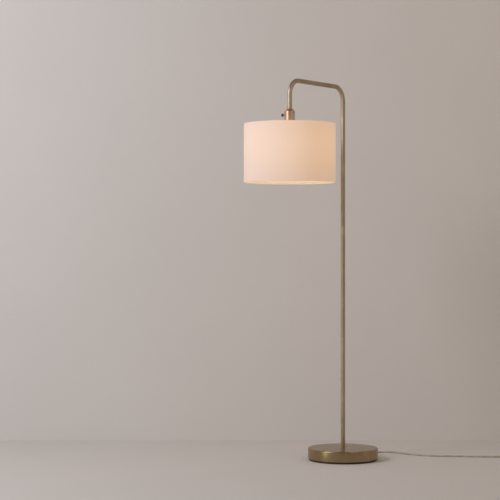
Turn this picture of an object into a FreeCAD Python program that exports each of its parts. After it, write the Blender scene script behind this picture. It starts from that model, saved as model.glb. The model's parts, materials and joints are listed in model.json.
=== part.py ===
import FreeCAD, Part
import math
import os

# Arc floor lamp: round weighted base, slim three-piece pole, square-shouldered arm with round
# bends, and a drum shade hung from the end of the arm on an E27 lampholder.
# Millimetres. Origin on the pole's axis at the floor, +Z up, the arm reaches towards -Y,
# and the mains cord leaves the base at the rear, towards +Y.

# ---------------------------------------------------------------- driving dimensions
TUBE_R = 9.0               # pole and arm tube, outside
TUBE_WALL = 1.2
ARM_AXIS_Z = 1517.0        # centre line of the level part of the arm
ARM_BEND_R = 58.0          # centre line of both bends
ARM_REACH = 380.0          # pole axis to drop axis
POLE_JOINTS = (500.0, 950.0, 1395.0)
DROP_END_Z = 1403.0        # lower end of the arm tube, top of the lampholder

BASE_R = 142.5
BASE_TOP = 50.0
COVER_LIP = 8.0            # lower edge of the metal cover
COVER_WALL = 1.5
COVER_EDGE_R = 3.5
FOOT_R = 140.0

SHADE_R = 178.0
SHADE_TOP = 1345.1
SHADE_BOTTOM = 1116.5
FABRIC = 1.0
LINER = 0.6
SHADE_WIRE_R = 2.2

CORD_R = 3.25
COIL_TURNS = (28.5, 44.75) # centre line of the coil's inner and outer turns
COIL_LAYERS = 2
TIE = 0.8

THREAD_R = 5.0             # M10 hollow rod
THREAD_BORE = 3.7
FLEX_R = 3.2               # lamp flex inside the tubes
SLIP = 0.05                # running fit
EDGE = 0.4                 # small edge break

UP = FreeCAD.Vector(0, 0, 1)
V = FreeCAD.Vector

# ---------------------------------------------------------------- cord route on the floor
# Points of the lead from the base's strain relief to the coil.
CORD_ROUTE = (
    (0.0, 172.0, 15.5), (0.6, 198.0, 14.4), (1.6, 226.0, 7.2), (3.6, 252.0, 3.7),
    (10.0, 278.0, 3.4), (27.0, 298.0, 3.5), (56.0, 305.5, 3.4), (88.0, 300.5, 3.5),
    (128.0, 292.5, 3.4), (176.0, 291.5, 3.5), (226.0, 298.0, 3.4), (272.0, 313.0, 3.5),
    (308.0, 337.0, 3.4), (346.0, 359.0, 3.5), (388.0, 378.0, 3.4), (430.0, 405.0, 3.5),
    (466.0, 430.0, 3.6), (500.0, 458.0, 3.7), (534.0, 482.4, 4.0),
)
CORD_END_DIR = (0.812, 0.5835)       # heading of the lead where it joins the coil
TAIL_RUN = 62.0                      # coil to plug, level distance


# ---------------------------------------------------------------- helpers
def save(shape, node):
    """Write one node's STEP file."""
    shape.exportStep("parts/%s.step" % node)


def tube(r_out, r_in, z0, z1, x=0.0, y=0.0):
    """Upright hollow cylinder."""
    outer = Part.makeCylinder(r_out, z1 - z0, V(x, y, z0))
    if r_in <= 0:
        return outer
    return outer.cut(Part.makeCylinder(r_in, z1 - z0 + 2, V(x, y, z0 - 1)))


def rod(start, end, radius):
    """Round rod between two points."""
    along = V(*end) - V(*start)
    return Part.makeCylinder(radius, along.Length, V(*start), along)


def turned(points, x=0.0, y=0.0):
    """Solid turned about an upright axis from a closed (radius, z) outline.

    A point with a third value rounds its corner to that radius.
    """
    corners = [V(p[0], 0, p[1]) for p in points]
    radii = [p[2] if len(p) > 2 else 0.0 for p in points]
    edges = rounded_edges(corners, radii, closed=True)
    solid = Part.Face(Part.Wire(edges)).revolve(V(0, 0, 0), UP, 360)
    solid = Part.makeSolid(Part.Shell(solid.Faces)) if solid.ShapeType != "Solid" else solid
    solid.translate(V(x, y, 0))
    return solid


def corner_arc(before, corner, after, radius):
    """Tangent arc that rounds a corner, as (start, middle, end)."""
    a = (before - corner).normalize()
    b = (after - corner).normalize()
    half = a.getAngle(b) / 2
    reach = radius / math.tan(half)
    centre = corner + (a + b).normalize() * (radius / math.sin(half))
    middle = centre + (corner - centre).normalize() * radius
    return corner + a * reach, middle, corner + b * reach


def rounded_edges(corners, radii, closed=False):
    """Straight runs through the corners, with a tangent arc at each corner that has a radius."""
    count = len(corners)
    pieces = []
    for i, corner in enumerate(corners):
        at_end = not closed and i in (0, count - 1)
        if at_end or radii[i] <= 0:
            pieces.append((corner, None, corner))
        else:
            pieces.append(corner_arc(corners[i - 1], corner, corners[(i + 1) % count], radii[i]))
    edges = []
    for i, (start, middle, end) in enumerate(pieces):
        if middle is not None:
            edges.append(Part.Arc(start, middle, end).toShape())
        if i < count - 1 or closed:
            following = pieces[(i + 1) % count][0]
            if (following - end).Length > 1e-6:
                edges.append(Part.LineSegment(end, following).toShape())
    return edges


def sweep_round(edges, radius, r_in=0.0):
    """Round bar or tube swept along tangent edges."""
    path = Part.Wire(edges)
    start = path.OrderedEdges[0]
    place = start.valueAt(start.FirstParameter)
    heading = start.tangentAt(start.FirstParameter)
    rings = [Part.Wire(Part.Circle(place, heading, r).toShape()) for r in (radius, r_in) if r > 0]
    solids = [path.makePipeShell([ring], True, False) for ring in rings]
    return solids[0] if len(solids) == 1 else solids[0].cut(solids[1])


def route_radii(points):
    """Radius of the arc at each point: 0.45 of the shorter run over tan(half the turn)."""
    radii = [0.0]
    for before, here, after in zip(points, points[1:], points[2:]):
        into, out = here - before, after - here
        half_turn = into.getAngle(out) / 2
        radii.append(0.45 * min(into.Length, out.Length) / math.tan(half_turn))
    return radii + [0.0]


def hexagon(across_flats, r_in, z0, z1):
    """Upright hexagonal prism, with a round hole if r_in isn't nought."""
    corner_r = across_flats / math.sqrt(3)
    corners = [V(corner_r * math.cos(a), corner_r * math.sin(a), z0)
               for a in (math.radians(60 * i) for i in range(7))]
    blank = Part.Face(Part.makePolygon(corners)).extrude(UP * (z1 - z0))
    return blank.cut(Part.makeCylinder(r_in, z1 - z0 + 2, V(0, 0, z0 - 1))) if r_in > 0 else blank


def group(solids):
    """Several separate solids in one node."""
    return Part.makeCompound(solids)


# ---------------------------------------------------------------- base
FELT_R = 137.0
FELT_TOP = 2.0
TRAY_FLOOR = 5.0           # upper face of the tray's floor
TRAY_RIM_R = 130.0         # inside of the tray's upstanding rim
BALLAST_R = 138.0
BALLAST_Z = (TRAY_FLOOR, BASE_TOP - COVER_WALL)
CAVITY_R = 24.0            # hollow under the ballast's web, for the nut and the flex
WEB_Z = 38.0
NUT_H = 6.0
NUT_FLATS = 16.0
WASHER_H = 1.6
WASHER_R = 12.0
ROD_FOOT_Z = 29.0          # lower end of the hollow rod
FOOT_BUSH_TOP = 72.0
GLAND_Z = 15.5
GLAND_TIP_Y = CORD_ROUTE[0][1]
GLAND_COLLAR_R = 7.4
GLAND_NECK_R = 5.9         # where it passes through the cover's wall
GLAND_HOLE_R = 6.0
GLAND_TIP_R = 4.6
GLAND_RIBS = 5
GLAND_RIB_R = (6.5, 5.0)   # first rib, and where the taper would end
GROOVE_HALF = 7.5          # half width of the ballast's groove for the lead
SCREW_CIRCLE = 105.0
SCREW_R = 2.0
SCREW_HEAD_R = 4.0
SCREW_HEAD_H = 2.1
SCREW_TOP = 18.0
CROSS_SLOT = (4.4, 0.9, 1.2)


def screw_places():
    """Centres of the three base screws."""
    return [(SCREW_CIRCLE * math.cos(math.radians(a)), SCREW_CIRCLE * math.sin(math.radians(a)))
            for a in (30, 150, 270)]


def make_base():
    """Felt, tray, cover, ballast and the parts that clamp them to the pole."""
    save(tube(FELT_R, 0, 0, FELT_TOP), "felt_pad")
    tray = turned([(0, FELT_TOP), (FOOT_R, FELT_TOP, 1), (FOOT_R, COVER_LIP),
                   (TRAY_RIM_R + EDGE, COVER_LIP), (TRAY_RIM_R + EDGE, TRAY_FLOOR), (0, TRAY_FLOOR)])
    tray = tray.cut(gland_clearance())

    inner_r = BASE_R - COVER_WALL
    cover = turned([(THREAD_R + SLIP, BALLAST_Z[1]), (THREAD_R + SLIP, BASE_TOP),
                    (BASE_R, BASE_TOP, COVER_EDGE_R), (BASE_R, COVER_LIP, EDGE),
                    (inner_r, COVER_LIP, EDGE), (inner_r, BALLAST_Z[1], COVER_EDGE_R - COVER_WALL)])
    gland_hole = rod((0, BALLAST_R - 4, GLAND_Z), (0, BASE_R + 4, GLAND_Z), GLAND_HOLE_R)
    save(cover.cut(gland_hole), "base_cover")

    ballast = turned([(THREAD_R + SLIP, WEB_Z), (THREAD_R + SLIP, BALLAST_Z[1]),
                      (BALLAST_R, BALLAST_Z[1], 5), (BALLAST_R, COVER_LIP),
                      (TRAY_RIM_R, COVER_LIP), (TRAY_RIM_R, BALLAST_Z[0]),
                      (CAVITY_R, BALLAST_Z[0]), (CAVITY_R, WEB_Z, 3)])
    groove = Part.makeBox(2 * GROOVE_HALF, BALLAST_R + 6, GLAND_Z + GROOVE_HALF, V(-GROOVE_HALF, 0, 0))
    ballast = ballast.cut(groove)
    screws = []
    for x, y in screw_places():
        countersink = Part.makeCone(SCREW_HEAD_R + 0.1, SCREW_R, SCREW_HEAD_H, V(x, y, FELT_TOP))
        hole = Part.makeCylinder(SCREW_R + SLIP, SCREW_TOP + 1 - FELT_TOP, V(x, y, FELT_TOP))
        tray = tray.cut(countersink.fuse(hole))
        ballast = ballast.cut(hole)
        screw = turned([(0, FELT_TOP), (SCREW_HEAD_R, FELT_TOP), (SCREW_HEAD_R, FELT_TOP + 0.1),
                        (SCREW_R, FELT_TOP + SCREW_HEAD_H), (SCREW_R, SCREW_TOP), (0, SCREW_TOP)], x, y)
        long, wide, deep = CROSS_SLOT
        slots = [Part.makeBox(long, wide, deep, V(x - long / 2, y - wide / 2, FELT_TOP)),
                 Part.makeBox(wide, long, deep, V(x - wide / 2, y - long / 2, FELT_TOP))]
        screws.append(screw.cut(slots))
    save(tray, "base_tray")
    save(ballast, "ballast_block")
    save(group(screws), "base_screws")

    washer_z = (WEB_Z - WASHER_H, WEB_Z)
    save(tube(WASHER_R, THREAD_R + SLIP, *washer_z), "base_lock_washer")
    save(hexagon(NUT_FLATS, THREAD_R, washer_z[0] - NUT_H, washer_z[0]), "base_lock_nut")
    save(tube(THREAD_R, THREAD_BORE, ROD_FOOT_Z, FOOT_BUSH_TOP), "base_hollow_rod")
    save(make_gland(), "cord_gland")


def gland_clearance():
    """Notch in the tray's rim that clears the strain relief's collar."""
    return rod((0, BALLAST_R - 12, GLAND_Z), (0, BASE_R + 4, GLAND_Z), GLAND_COLLAR_R + 0.8)


def make_gland():
    """Tapered rubber strain relief through the cover's rear wall, with rings that let it bend."""
    inner_y = BALLAST_R - 1.0
    wall_y = BASE_R - COVER_WALL - 0.4
    outline = [(CORD_R, inner_y), (GLAND_COLLAR_R, inner_y, EDGE), (GLAND_COLLAR_R, wall_y),
               (GLAND_NECK_R, wall_y), (GLAND_NECK_R, BASE_R + 0.1), (GLAND_COLLAR_R, BASE_R + 0.1),
               (GLAND_COLLAR_R - 0.2, BASE_R + 3.4, 0.8)]
    first_y = BASE_R + 4.2
    pitch = (GLAND_TIP_Y - 3.0 - first_y) / GLAND_RIBS
    start_r, end_r = GLAND_RIB_R
    for i in range(GLAND_RIBS):
        y0 = first_y + pitch * i
        wide = start_r + (end_r - start_r) * i / GLAND_RIBS
        outline += [(wide - 1.0, y0), (wide - 1.0, y0 + 1.6), (wide, y0 + 2.0), (wide, y0 + pitch - 0.4)]
    outline += [(GLAND_TIP_R + 0.3, GLAND_TIP_Y - 3.0), (GLAND_TIP_R, GLAND_TIP_Y), (CORD_R, GLAND_TIP_Y)]
    solid = turned(outline)
    solid.rotate(V(0, 0, 0), V(1, 0, 0), -90)
    solid.translate(V(0, 0, GLAND_Z))
    return solid


# ---------------------------------------------------------------- pole
BUSH_L = 16.0              # length of a threaded bush in a tube's end
STUD_L = 26.0              # hollow stud across a pole joint
SWIVEL_TOP = 1432.0        # top of the spigot that the arm turns on
SWIVEL_R = 6.4
SPIGOT_BORE = 4.2
SPIGOT_DEPTH = 24.0        # pressed length inside the pole
SPIGOT_GROOVE = (10.0, 17.0, 1.2, 0.6)  # start, end, depth and slope, above the pole's top


def make_pole():
    """Three tube lengths, their threaded bushes, and the hollow studs between them."""
    bore = TUBE_R - TUBE_WALL
    ends = (BASE_TOP,) + POLE_JOINTS
    names = ("pole_lower", "pole_middle", "pole_upper")
    for name, z0, z1 in zip(names, ends, ends[1:]):
        outline = [(bore, z0), (TUBE_R, z0, EDGE), (TUBE_R, z1, EDGE), (bore, z1)]
        save(turned(outline), name)
    save(tube(bore, THREAD_R, BASE_TOP, FOOT_BUSH_TOP), "pole_foot_bush")
    for name, z in zip(("lower", "middle"), POLE_JOINTS):
        bushes = [tube(bore, THREAD_R, z - BUSH_L, z), tube(bore, THREAD_R, z, z + BUSH_L)]
        save(group(bushes), "%s_joint_bushes" % name)
        save(tube(THREAD_R, THREAD_BORE, z - STUD_L / 2, z + STUD_L / 2), "%s_joint_stud" % name)
    save(make_swivel_spigot(), "arm_spigot")


def make_swivel_spigot():
    """Turned spigot pressed in the pole's top, with a groove for the arm's grub screw."""
    bore = TUBE_R - TUBE_WALL
    z = POLE_JOINTS[2]
    start, end, deep, slope = SPIGOT_GROOVE
    return turned([(SPIGOT_BORE, z - SPIGOT_DEPTH), (bore, z - SPIGOT_DEPTH, EDGE), (bore, z), (SWIVEL_R, z),
                   (SWIVEL_R, z + start), (SWIVEL_R - deep, z + start + slope),
                   (SWIVEL_R - deep, z + end - slope), (SWIVEL_R, z + end),
                   (SWIVEL_R, SWIVEL_TOP, EDGE), (SPIGOT_BORE, SWIVEL_TOP)])


# ---------------------------------------------------------------- arm
DROP_Y = -ARM_REACH
ARM_GAP = 0.3              # hairline between the pole's top and the turning arm
GRUB_Z = POLE_JOINTS[2] + 13.5
GRUB_R = 2.0
GRUB_SOCKET = 2.0          # across flats, and depth
SWIVEL_BUSH_L = 32.0


def arm_path(z_rear, z_front):
    """Centre line of the arm, from above the pole, over both bends, to the drop."""
    corners = [V(0, 0, z_rear), V(0, 0, ARM_AXIS_Z), V(0, DROP_Y, ARM_AXIS_Z), V(0, DROP_Y, z_front)]
    return rounded_edges(corners, [0, ARM_BEND_R, ARM_BEND_R, 0])


def make_arm():
    """The bent tube, the bush that turns on the spigot, and the bush and nipple of the drop."""
    bore = TUBE_R - TUBE_WALL
    z0 = POLE_JOINTS[2] + ARM_GAP
    grub_hole = rod((0, 5, GRUB_Z), (0, TUBE_R + 2, GRUB_Z), GRUB_R)
    arc = sweep_round(arm_path(z0, DROP_END_Z), TUBE_R, bore)
    save(arc.cut(grub_hole), "arc_tube")
    bush = tube(bore, SWIVEL_R + SLIP, z0, z0 + SWIVEL_BUSH_L)
    save(bush.cut(grub_hole), "arm_swivel_bush")
    grub = rod((0, SWIVEL_R - 0.9, GRUB_Z), (0, TUBE_R - 0.3, GRUB_Z), GRUB_R)
    socket = hexagon(GRUB_SOCKET, 0, 0, GRUB_SOCKET)
    socket.rotate(V(0, 0, 0), V(1, 0, 0), 90)
    socket.translate(V(0, TUBE_R + 0.2, GRUB_Z))
    save(grub.cut(socket), "arm_grub_screw")
    save(tube(bore, THREAD_R, DROP_END_Z, DROP_END_Z + BUSH_L, 0, DROP_Y), "drop_bush")
    save(tube(THREAD_R, THREAD_BORE, DROP_END_Z - 9, DROP_END_Z + 12, 0, DROP_Y), "drop_nipple")


# ---------------------------------------------------------------- lampholder
CUP_R = 20.5
CUP_TOP = DROP_END_Z
CUP_BOTTOM = 1356.0
CUP_WALL = 1.0
KEY_Z = 1380.0
KEY_STEM_R = 2.0
KEY_COLLAR_R = 4.5
KEY_BOSS_R = 3.6
KEY_HALF_H = 6.4
KEY_THICK = 3.4
KEY_START = 27.0           # from the drop axis to the key's near side
KEY_END = 40.0
CORE_TOP = 1372.0
CORE_R = 17.6              # also the sleeve's bore
TERMINAL_R = 2.05
TERMINAL_Z = CORE_TOP - 5.0
SWITCH_BODY = (15.0, 19.0, 13.0)
SLEEVE_R = 19.0
SLEEVE_LIP_R = 15.2
SLEEVE_PITCH = 3.0
SLEEVE_RIDGES = 5
SLEEVE_RIDGE_H = 0.7
SLEEVE_BOTTOM = 1319.0
SHELL_R = 14.4
SHELL_TOP = 1352.0
SHELL_BOTTOM = 1322.0
RING_Z = (1325.1, 1335.1)
HUB_Z = (1335.5, 1337.1)
SHOULDER_Z = 1337.5        # flange of the sleeve above the shade's hub
SHOULDER_R = 22.1
SHOULDER_H = 2.2
RING_RIM_R = 25.0
RING_GRIPS = 24
ROLLED_PITCH = 3.6         # rolled thread of the bulb's cap and its shell


def at_drop(outline):
    """Solid turned about the drop axis."""
    return turned(outline, 0, DROP_Y)


def make_lampholder():
    """Metal cup with a rotary switch, E27 core, threaded sleeve and shade ring."""
    cup = at_drop([(THREAD_R + SLIP, CUP_TOP - CUP_WALL), (THREAD_R + SLIP, CUP_TOP),
                   (11.5, CUP_TOP, 1.5), (CUP_R, CUP_TOP - 9.5, 5), (CUP_R, CUP_BOTTOM, EDGE),
                   (CUP_R - CUP_WALL, CUP_BOTTOM), (CUP_R - CUP_WALL, CUP_TOP - 10.2, 4),
                   (11.2, CUP_TOP - CUP_WALL, 1)])
    key_hole = rod((-15, DROP_Y, KEY_Z), (-25, DROP_Y, KEY_Z), KEY_COLLAR_R + SLIP)
    save(cup.cut(key_hole), "lampholder_cup")
    nut = hexagon(14, THREAD_R, CUP_TOP - CUP_WALL - 5, CUP_TOP - CUP_WALL)
    save(moved_to_drop(nut), "cup_lock_nut")

    core = at_drop([(0, SHELL_TOP + 2.5), (15.4, SHELL_TOP + 2.5), (15.4, SHELL_BOTTOM + 4),
                    (CORE_R, SHELL_BOTTOM + 4), (CORE_R, CORE_TOP), (0, CORE_TOP)])
    for side in (-1, 1):
        start, end = (0, DROP_Y + side * 13, TERMINAL_Z), (0, DROP_Y + side * 22, TERMINAL_Z)
        core = core.cut(rod(start, end, TERMINAL_R + SLIP))
    core = core.cut(rod((-4, DROP_Y, SHELL_TOP), (-4, DROP_Y, CORE_TOP + 1), 1.6))
    save(core, "lampholder_core")
    terminals = [terminal_screw(side) for side in (-1, 1)]
    save(group(terminals), "terminal_screws")

    save(make_screw_shell(), "screw_shell")
    save(make_centre_contact(), "centre_contact")
    lip_z, top_z, flange_z = SLEEVE_BOTTOM + 1.4, CUP_BOTTOM - 0.2, SHOULDER_Z + SHOULDER_H
    sleeve = at_drop([(CORE_R, top_z), (CORE_R, lip_z), (SLEEVE_LIP_R, lip_z),
                      (SLEEVE_LIP_R, SLEEVE_BOTTOM), (SLEEVE_R, SLEEVE_BOTTOM, 0.8)]
                     + sleeve_thread() + [(SLEEVE_R, SHOULDER_Z), (SHOULDER_R, SHOULDER_Z, EDGE),
                                          (SHOULDER_R, flange_z, EDGE), (SLEEVE_R, flange_z),
                                          (SLEEVE_R, top_z)])
    save(sleeve, "lampholder_sleeve")
    save(make_shade_ring(), "shade_ring")
    make_switch()


def moved_to_drop(shape):
    """Move a shape made on the pole's axis to the drop axis."""
    shape.translate(V(0, DROP_Y, 0))
    return shape


def terminal_screw(side):
    """Screw on one side of the core that holds a conductor."""
    face = CORE_R - 0.2
    head = rod((0, DROP_Y + side * 14, TERMINAL_Z), (0, DROP_Y + side * face, TERMINAL_Z), TERMINAL_R)
    slot = Part.makeBox(5, 1.2, 0.8, V(-2.5, DROP_Y + side * (face - 0.5) - 0.6, TERMINAL_Z - 0.4))
    return head.cut(slot)


def sleeve_thread():
    """Ridges of the sleeve's outside thread, as outline points going up."""
    points = []
    crest = SLEEVE_R + SLEEVE_RIDGE_H
    for i in range(SLEEVE_RIDGES):
        z = SLEEVE_BOTTOM + SLEEVE_PITCH * (i + 1)
        points += [(SLEEVE_R, z), (crest, z + 0.7), (crest, z + 1.5), (SLEEVE_R, z + 2.2)]
    return points


def make_screw_shell():
    """Rolled copper shell that takes the bulb's cap, with round ridges."""
    inner, outer = SHELL_R - 0.45, SHELL_R
    ridge = 0.45
    outside, inside = [], []
    for i in range(7):
        z = SHELL_BOTTOM + ROLLED_PITCH * (i + 0.5)
        outside += [(outer, z), (outer + ridge, z + ROLLED_PITCH / 2)]
        inside += [(inner, z), (inner + ridge, z + ROLLED_PITCH / 2)]
    bottom, top = [(inner, SHELL_BOTTOM), (outer, SHELL_BOTTOM)], [(outer, SHELL_TOP), (inner, SHELL_TOP)]
    return at_drop(bottom + outside + top + inside[::-1])


def make_centre_contact():
    """Sprung tongue that the bulb's tip touches."""
    foot = Part.makeBox(14, 6, 0.6, V(-10, DROP_Y - 3, SHELL_TOP + 1.9))
    bend = Part.makeBox(0.6, 6, 2.6, V(3.4, DROP_Y - 3, SHELL_TOP - 0.7))
    tongue = Part.makeBox(8.0, 6, 0.6, V(-4.0, DROP_Y - 3, SHELL_TOP - 0.7))
    return foot.fuse(bend).fuse(tongue).removeSplitter()


def make_shade_ring():
    """Ring nut under the shade's hub, with finger grooves round its rim."""
    z0, z1 = RING_Z
    ring = at_drop([(SLEEVE_R + 0.75, z0), (RING_RIM_R - 3.2, z0, EDGE), (RING_RIM_R, z0 + 5.5, 0.6),
                    (RING_RIM_R, z1, EDGE), (SLEEVE_R + 0.75, z1)])
    cutter_at = RING_RIM_R + 0.7
    cutters = []
    for i in range(RING_GRIPS):
        angle = 2 * math.pi * i / RING_GRIPS
        x, y = cutter_at * math.cos(angle), cutter_at * math.sin(angle) + DROP_Y
        cutters.append(Part.makeCylinder(1.5, z1 - z0 + 2, V(x, y, z0 - 1)))
    return ring.cut(cutters)


def make_switch():
    """Rotary switch: collar in the cup's side, stem, cam in the core and flat oval key."""
    collar = rod((-18.6, DROP_Y, KEY_Z), (-24.0, DROP_Y, KEY_Z), KEY_COLLAR_R)
    bore = rod((-15, DROP_Y, KEY_Z), (-26, DROP_Y, KEY_Z), KEY_STEM_R + SLIP)
    save(collar.cut(bore), "switch_collar")
    stem = rod((-3.0, DROP_Y, KEY_Z), (-KEY_START - 4, DROP_Y, KEY_Z), KEY_STEM_R)
    save(stem, "switch_stem")
    body = Part.makeBox(*SWITCH_BODY, V(-6.0, DROP_Y - SWITCH_BODY[1] / 2, CORE_TOP + 0.3))
    body = body.makeFillet(1.2, [e for e in body.Edges if abs(e.tangentAt(0).z) > 0.9])
    shaft = rod((-9.5, DROP_Y, KEY_Z), (-2.8, DROP_Y, KEY_Z), KEY_STEM_R + SLIP)
    save(body.cut(shaft), "switch_body")
    save(make_key(), "switch_key")


def make_key():
    """Flat oval paddle turned by finger and thumb, with a round boss."""
    length = KEY_END - KEY_START
    boss = rod((-KEY_START, DROP_Y, KEY_Z), (-KEY_START - 5, DROP_Y, KEY_Z), KEY_BOSS_R)
    paddle = Part.makeCylinder(1, KEY_THICK, V(0, 0, -KEY_THICK / 2))
    stretch = FreeCAD.Matrix()
    stretch.scale(V(length / 2, KEY_HALF_H, 1))
    paddle = paddle.transformGeometry(stretch)
    paddle = paddle.makeFillet(0.9, paddle.Edges[:1] + paddle.Edges[2:3])
    paddle.rotate(V(0, 0, 0), V(1, 0, 0), 90)
    paddle.translate(V(-KEY_START - length / 2, DROP_Y, KEY_Z))
    key = boss.fuse(paddle)
    hole = rod((-KEY_START + 1, DROP_Y, KEY_Z), (-KEY_START - 4, DROP_Y, KEY_Z), KEY_STEM_R)
    return key.cut(hole)


# ---------------------------------------------------------------- bulb
BULB_R = 30.0
BULB_TIP = SHELL_TOP - 0.9
BULB_CAP_R = 13.1
BULB_CAP_TOP = 1346.0
BULB_COLLAR_Z = (1302.0, 1326.0)
BULB_CENTRE_Z = 1264.0
BULB_BOARD_Z = 1288.0
BULB_BOARD_H = 1.6
BULB_COLLAR_R = 22.0
ENVELOPE_WALL = 1.0


def make_bulb():
    """LED retrofit bulb: E27 cap, glass button, tip, plastic collar, board and opal envelope."""
    cap_low, cap_high = BULB_COLLAR_Z[1], BULB_CAP_TOP
    root_r = BULB_CAP_R - 0.6
    outside = []
    for i in range(5):
        z = cap_low + 1.2 + ROLLED_PITCH * i
        outside += [(root_r, z), (BULB_CAP_R, z + ROLLED_PITCH / 2)]
    cap = at_drop([(root_r - 0.5, cap_low), (root_r, cap_low)] + outside
                  + [(root_r, cap_high - 0.6), (root_r - 1.0, cap_high),
                     (root_r - 1.5, cap_high - 0.3), (root_r - 0.5, cap_high - 1.6)])
    save(cap, "bulb_cap")
    tip_low = BULB_TIP - 1.0
    save(at_drop([(0, cap_high - 1.6), (root_r - 1.1, cap_high - 1.6), (7.0, tip_low - 0.4),
                  (5.0, tip_low), (0, tip_low)]), "bulb_insulator")
    save(at_drop([(0, tip_low), (4.6, tip_low), (3.8, BULB_TIP - 0.1, 0.6), (0, BULB_TIP)]), "bulb_tip")
    z0, z1 = BULB_COLLAR_Z
    board_top = BULB_BOARD_Z + BULB_BOARD_H
    rim_r, board_r, neck_r = BULB_COLLAR_R - 1.5, BULB_COLLAR_R - 3.0, BULB_CAP_R + 0.3
    save(at_drop([(0, board_top), (rim_r, board_top), (BULB_COLLAR_R + 1.0, z0 - 8.0, 4),
                  (neck_r, z1 - 9.0, 3), (neck_r, z1), (0, z1)]), "bulb_collar")
    save(at_drop([(0, BULB_BOARD_Z), (board_r, BULB_BOARD_Z), (board_r, board_top),
                  (0, board_top)]), "led_board")
    save(make_envelope(rim_r, board_top), "bulb_envelope")


def make_envelope(rim_r, rim_z):
    """Opal envelope: a sphere with a short neck up to the collar."""
    outer = envelope_half(BULB_R, rim_r, rim_z)
    inner = envelope_half(BULB_R - ENVELOPE_WALL, rim_r - ENVELOPE_WALL, rim_z)
    return moved_to_drop(outer.cut(inner))


def envelope_half(radius, rim_r, rim_z):
    """Ball joined to its neck by a tangent cone, as one solid."""
    rise = rim_z - BULB_CENTRE_Z
    gap = math.hypot(rise, rim_r)
    tangent = math.atan2(rim_r, rise) + math.acos(radius / gap) if gap > radius else math.atan2(rim_r, rise)
    touch = V(radius * math.sin(tangent), 0, BULB_CENTRE_Z + radius * math.cos(tangent))
    low = V(0, 0, BULB_CENTRE_Z - radius)
    side_angle = (tangent + math.pi) / 2
    side = V(radius * math.sin(side_angle), 0, BULB_CENTRE_Z + radius * math.cos(side_angle))
    edges = [Part.Arc(low, side, touch).toShape()]
    rim = V(rim_r, 0, rim_z)
    if (rim - touch).Length > 0.01:
        edges.append(Part.LineSegment(touch, rim).toShape())
    edges.append(Part.LineSegment(edges[-1].Vertexes[-1].Point, V(0, 0, rim_z)).toShape())
    edges.append(Part.LineSegment(V(0, 0, rim_z), low).toShape())
    return Part.Face(Part.Wire(edges)).revolve(V(0, 0, 0), UP, 360)


# ---------------------------------------------------------------- shade
HUB_R = 27.0
HUB_HOLE_R = 20.3
HEM_DEPTH = 9.0
ARM_WIRE_R = 1.8
ARM_WIRE_BEND = (70.0, 40.0)         # distance of the bend from the axis, and its radius
ARM_WIRE_ANGLES = (90, 210, 330)


def make_shade():
    """Drum: fabric with hems turned over two wire rings, inner liner, hub and three arms."""
    z0, z1 = SHADE_BOTTOM, SHADE_TOP
    inner = SHADE_R - FABRIC
    hem_r = inner - LINER - 2 * SHADE_WIRE_R - FABRIC - 0.2
    fabric = at_drop([(inner, z0 + FABRIC), (inner, z1 - FABRIC), (hem_r + FABRIC, z1 - FABRIC),
                      (hem_r + FABRIC, z1 - HEM_DEPTH), (hem_r, z1 - HEM_DEPTH), (hem_r, z1, 1.2),
                      (SHADE_R, z1, 1.2), (SHADE_R, z0, 1.2), (hem_r, z0, 1.2),
                      (hem_r, z0 + HEM_DEPTH), (hem_r + FABRIC, z0 + HEM_DEPTH),
                      (hem_r + FABRIC, z0 + FABRIC)])
    arms, notches = make_spider_arms(hem_r)
    save(fabric.cut(notches), "shade_fabric")
    save(at_drop([(inner - LINER, z0 + FABRIC), (inner, z0 + FABRIC), (inner, z1 - FABRIC),
                  (inner - LINER, z1 - FABRIC)]), "shade_liner")
    ring_r = inner - LINER - SHADE_WIRE_R - 0.1
    ring_z = (z1 - FABRIC - SHADE_WIRE_R, z0 + FABRIC + SHADE_WIRE_R)
    for name, z in zip(("top", "bottom"), ring_z):
        ring = Part.makeTorus(ring_r, SHADE_WIRE_R, V(0, DROP_Y, z))
        save(ring, "shade_%s_ring" % name)
    hub = at_drop([(HUB_HOLE_R, HUB_Z[0], EDGE), (HUB_R, HUB_Z[0], EDGE), (HUB_R, HUB_Z[1], EDGE),
                   (HUB_HOLE_R, HUB_Z[1], EDGE)])
    save(hub, "shade_hub")
    save(group(arms), "shade_arms")


def make_spider_arms(hem_r):
    """Three wires from the hub's rim up to the top ring, and the slots they need in the hem."""
    arms, notches = [], []
    hub_z = (HUB_Z[0] + HUB_Z[1]) / 2 + ARM_WIRE_R + 1.0
    rise_to = SHADE_TOP - FABRIC - SHADE_WIRE_R - 0.3
    bend_at, bend_r = ARM_WIRE_BEND
    base = V(0, DROP_Y, 0)
    for angle in ARM_WIRE_ANGLES:
        across = V(math.cos(math.radians(angle)), math.sin(math.radians(angle)), 0)
        corners = [base + across * (HUB_R - 4.4) + UP * hub_z, base + across * bend_at + UP * hub_z,
                   base + across * (hem_r + 1.0) + UP * rise_to]
        wire_path = rounded_edges(corners, [0, bend_r, 0])
        arms.append(sweep_round(wire_path, ARM_WIRE_R))
        notches.append(rod(corners[2] - across * 12, corners[2] + across * 3, ARM_WIRE_R + 0.6))
    return arms, notches


# ---------------------------------------------------------------- flex inside the tubes
FLEX_BEND_R = 15.0


def make_inner_flex():
    """Lamp flex from the base's strain relief, up the pole and over the arm to the lampholder."""
    lower = [V(0, GLAND_TIP_Y - 0.4, GLAND_Z), V(0, 0, GLAND_Z), V(0, 0, POLE_JOINTS[2] - 0.2)]
    save(sweep_round(rounded_edges(lower, [0, FLEX_BEND_R, 0]), FLEX_R), "inner_flex_lower")
    upper = arm_path(POLE_JOINTS[2], CORE_TOP + 15)
    save(sweep_round(upper, FLEX_R), "inner_flex_upper")


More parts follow.
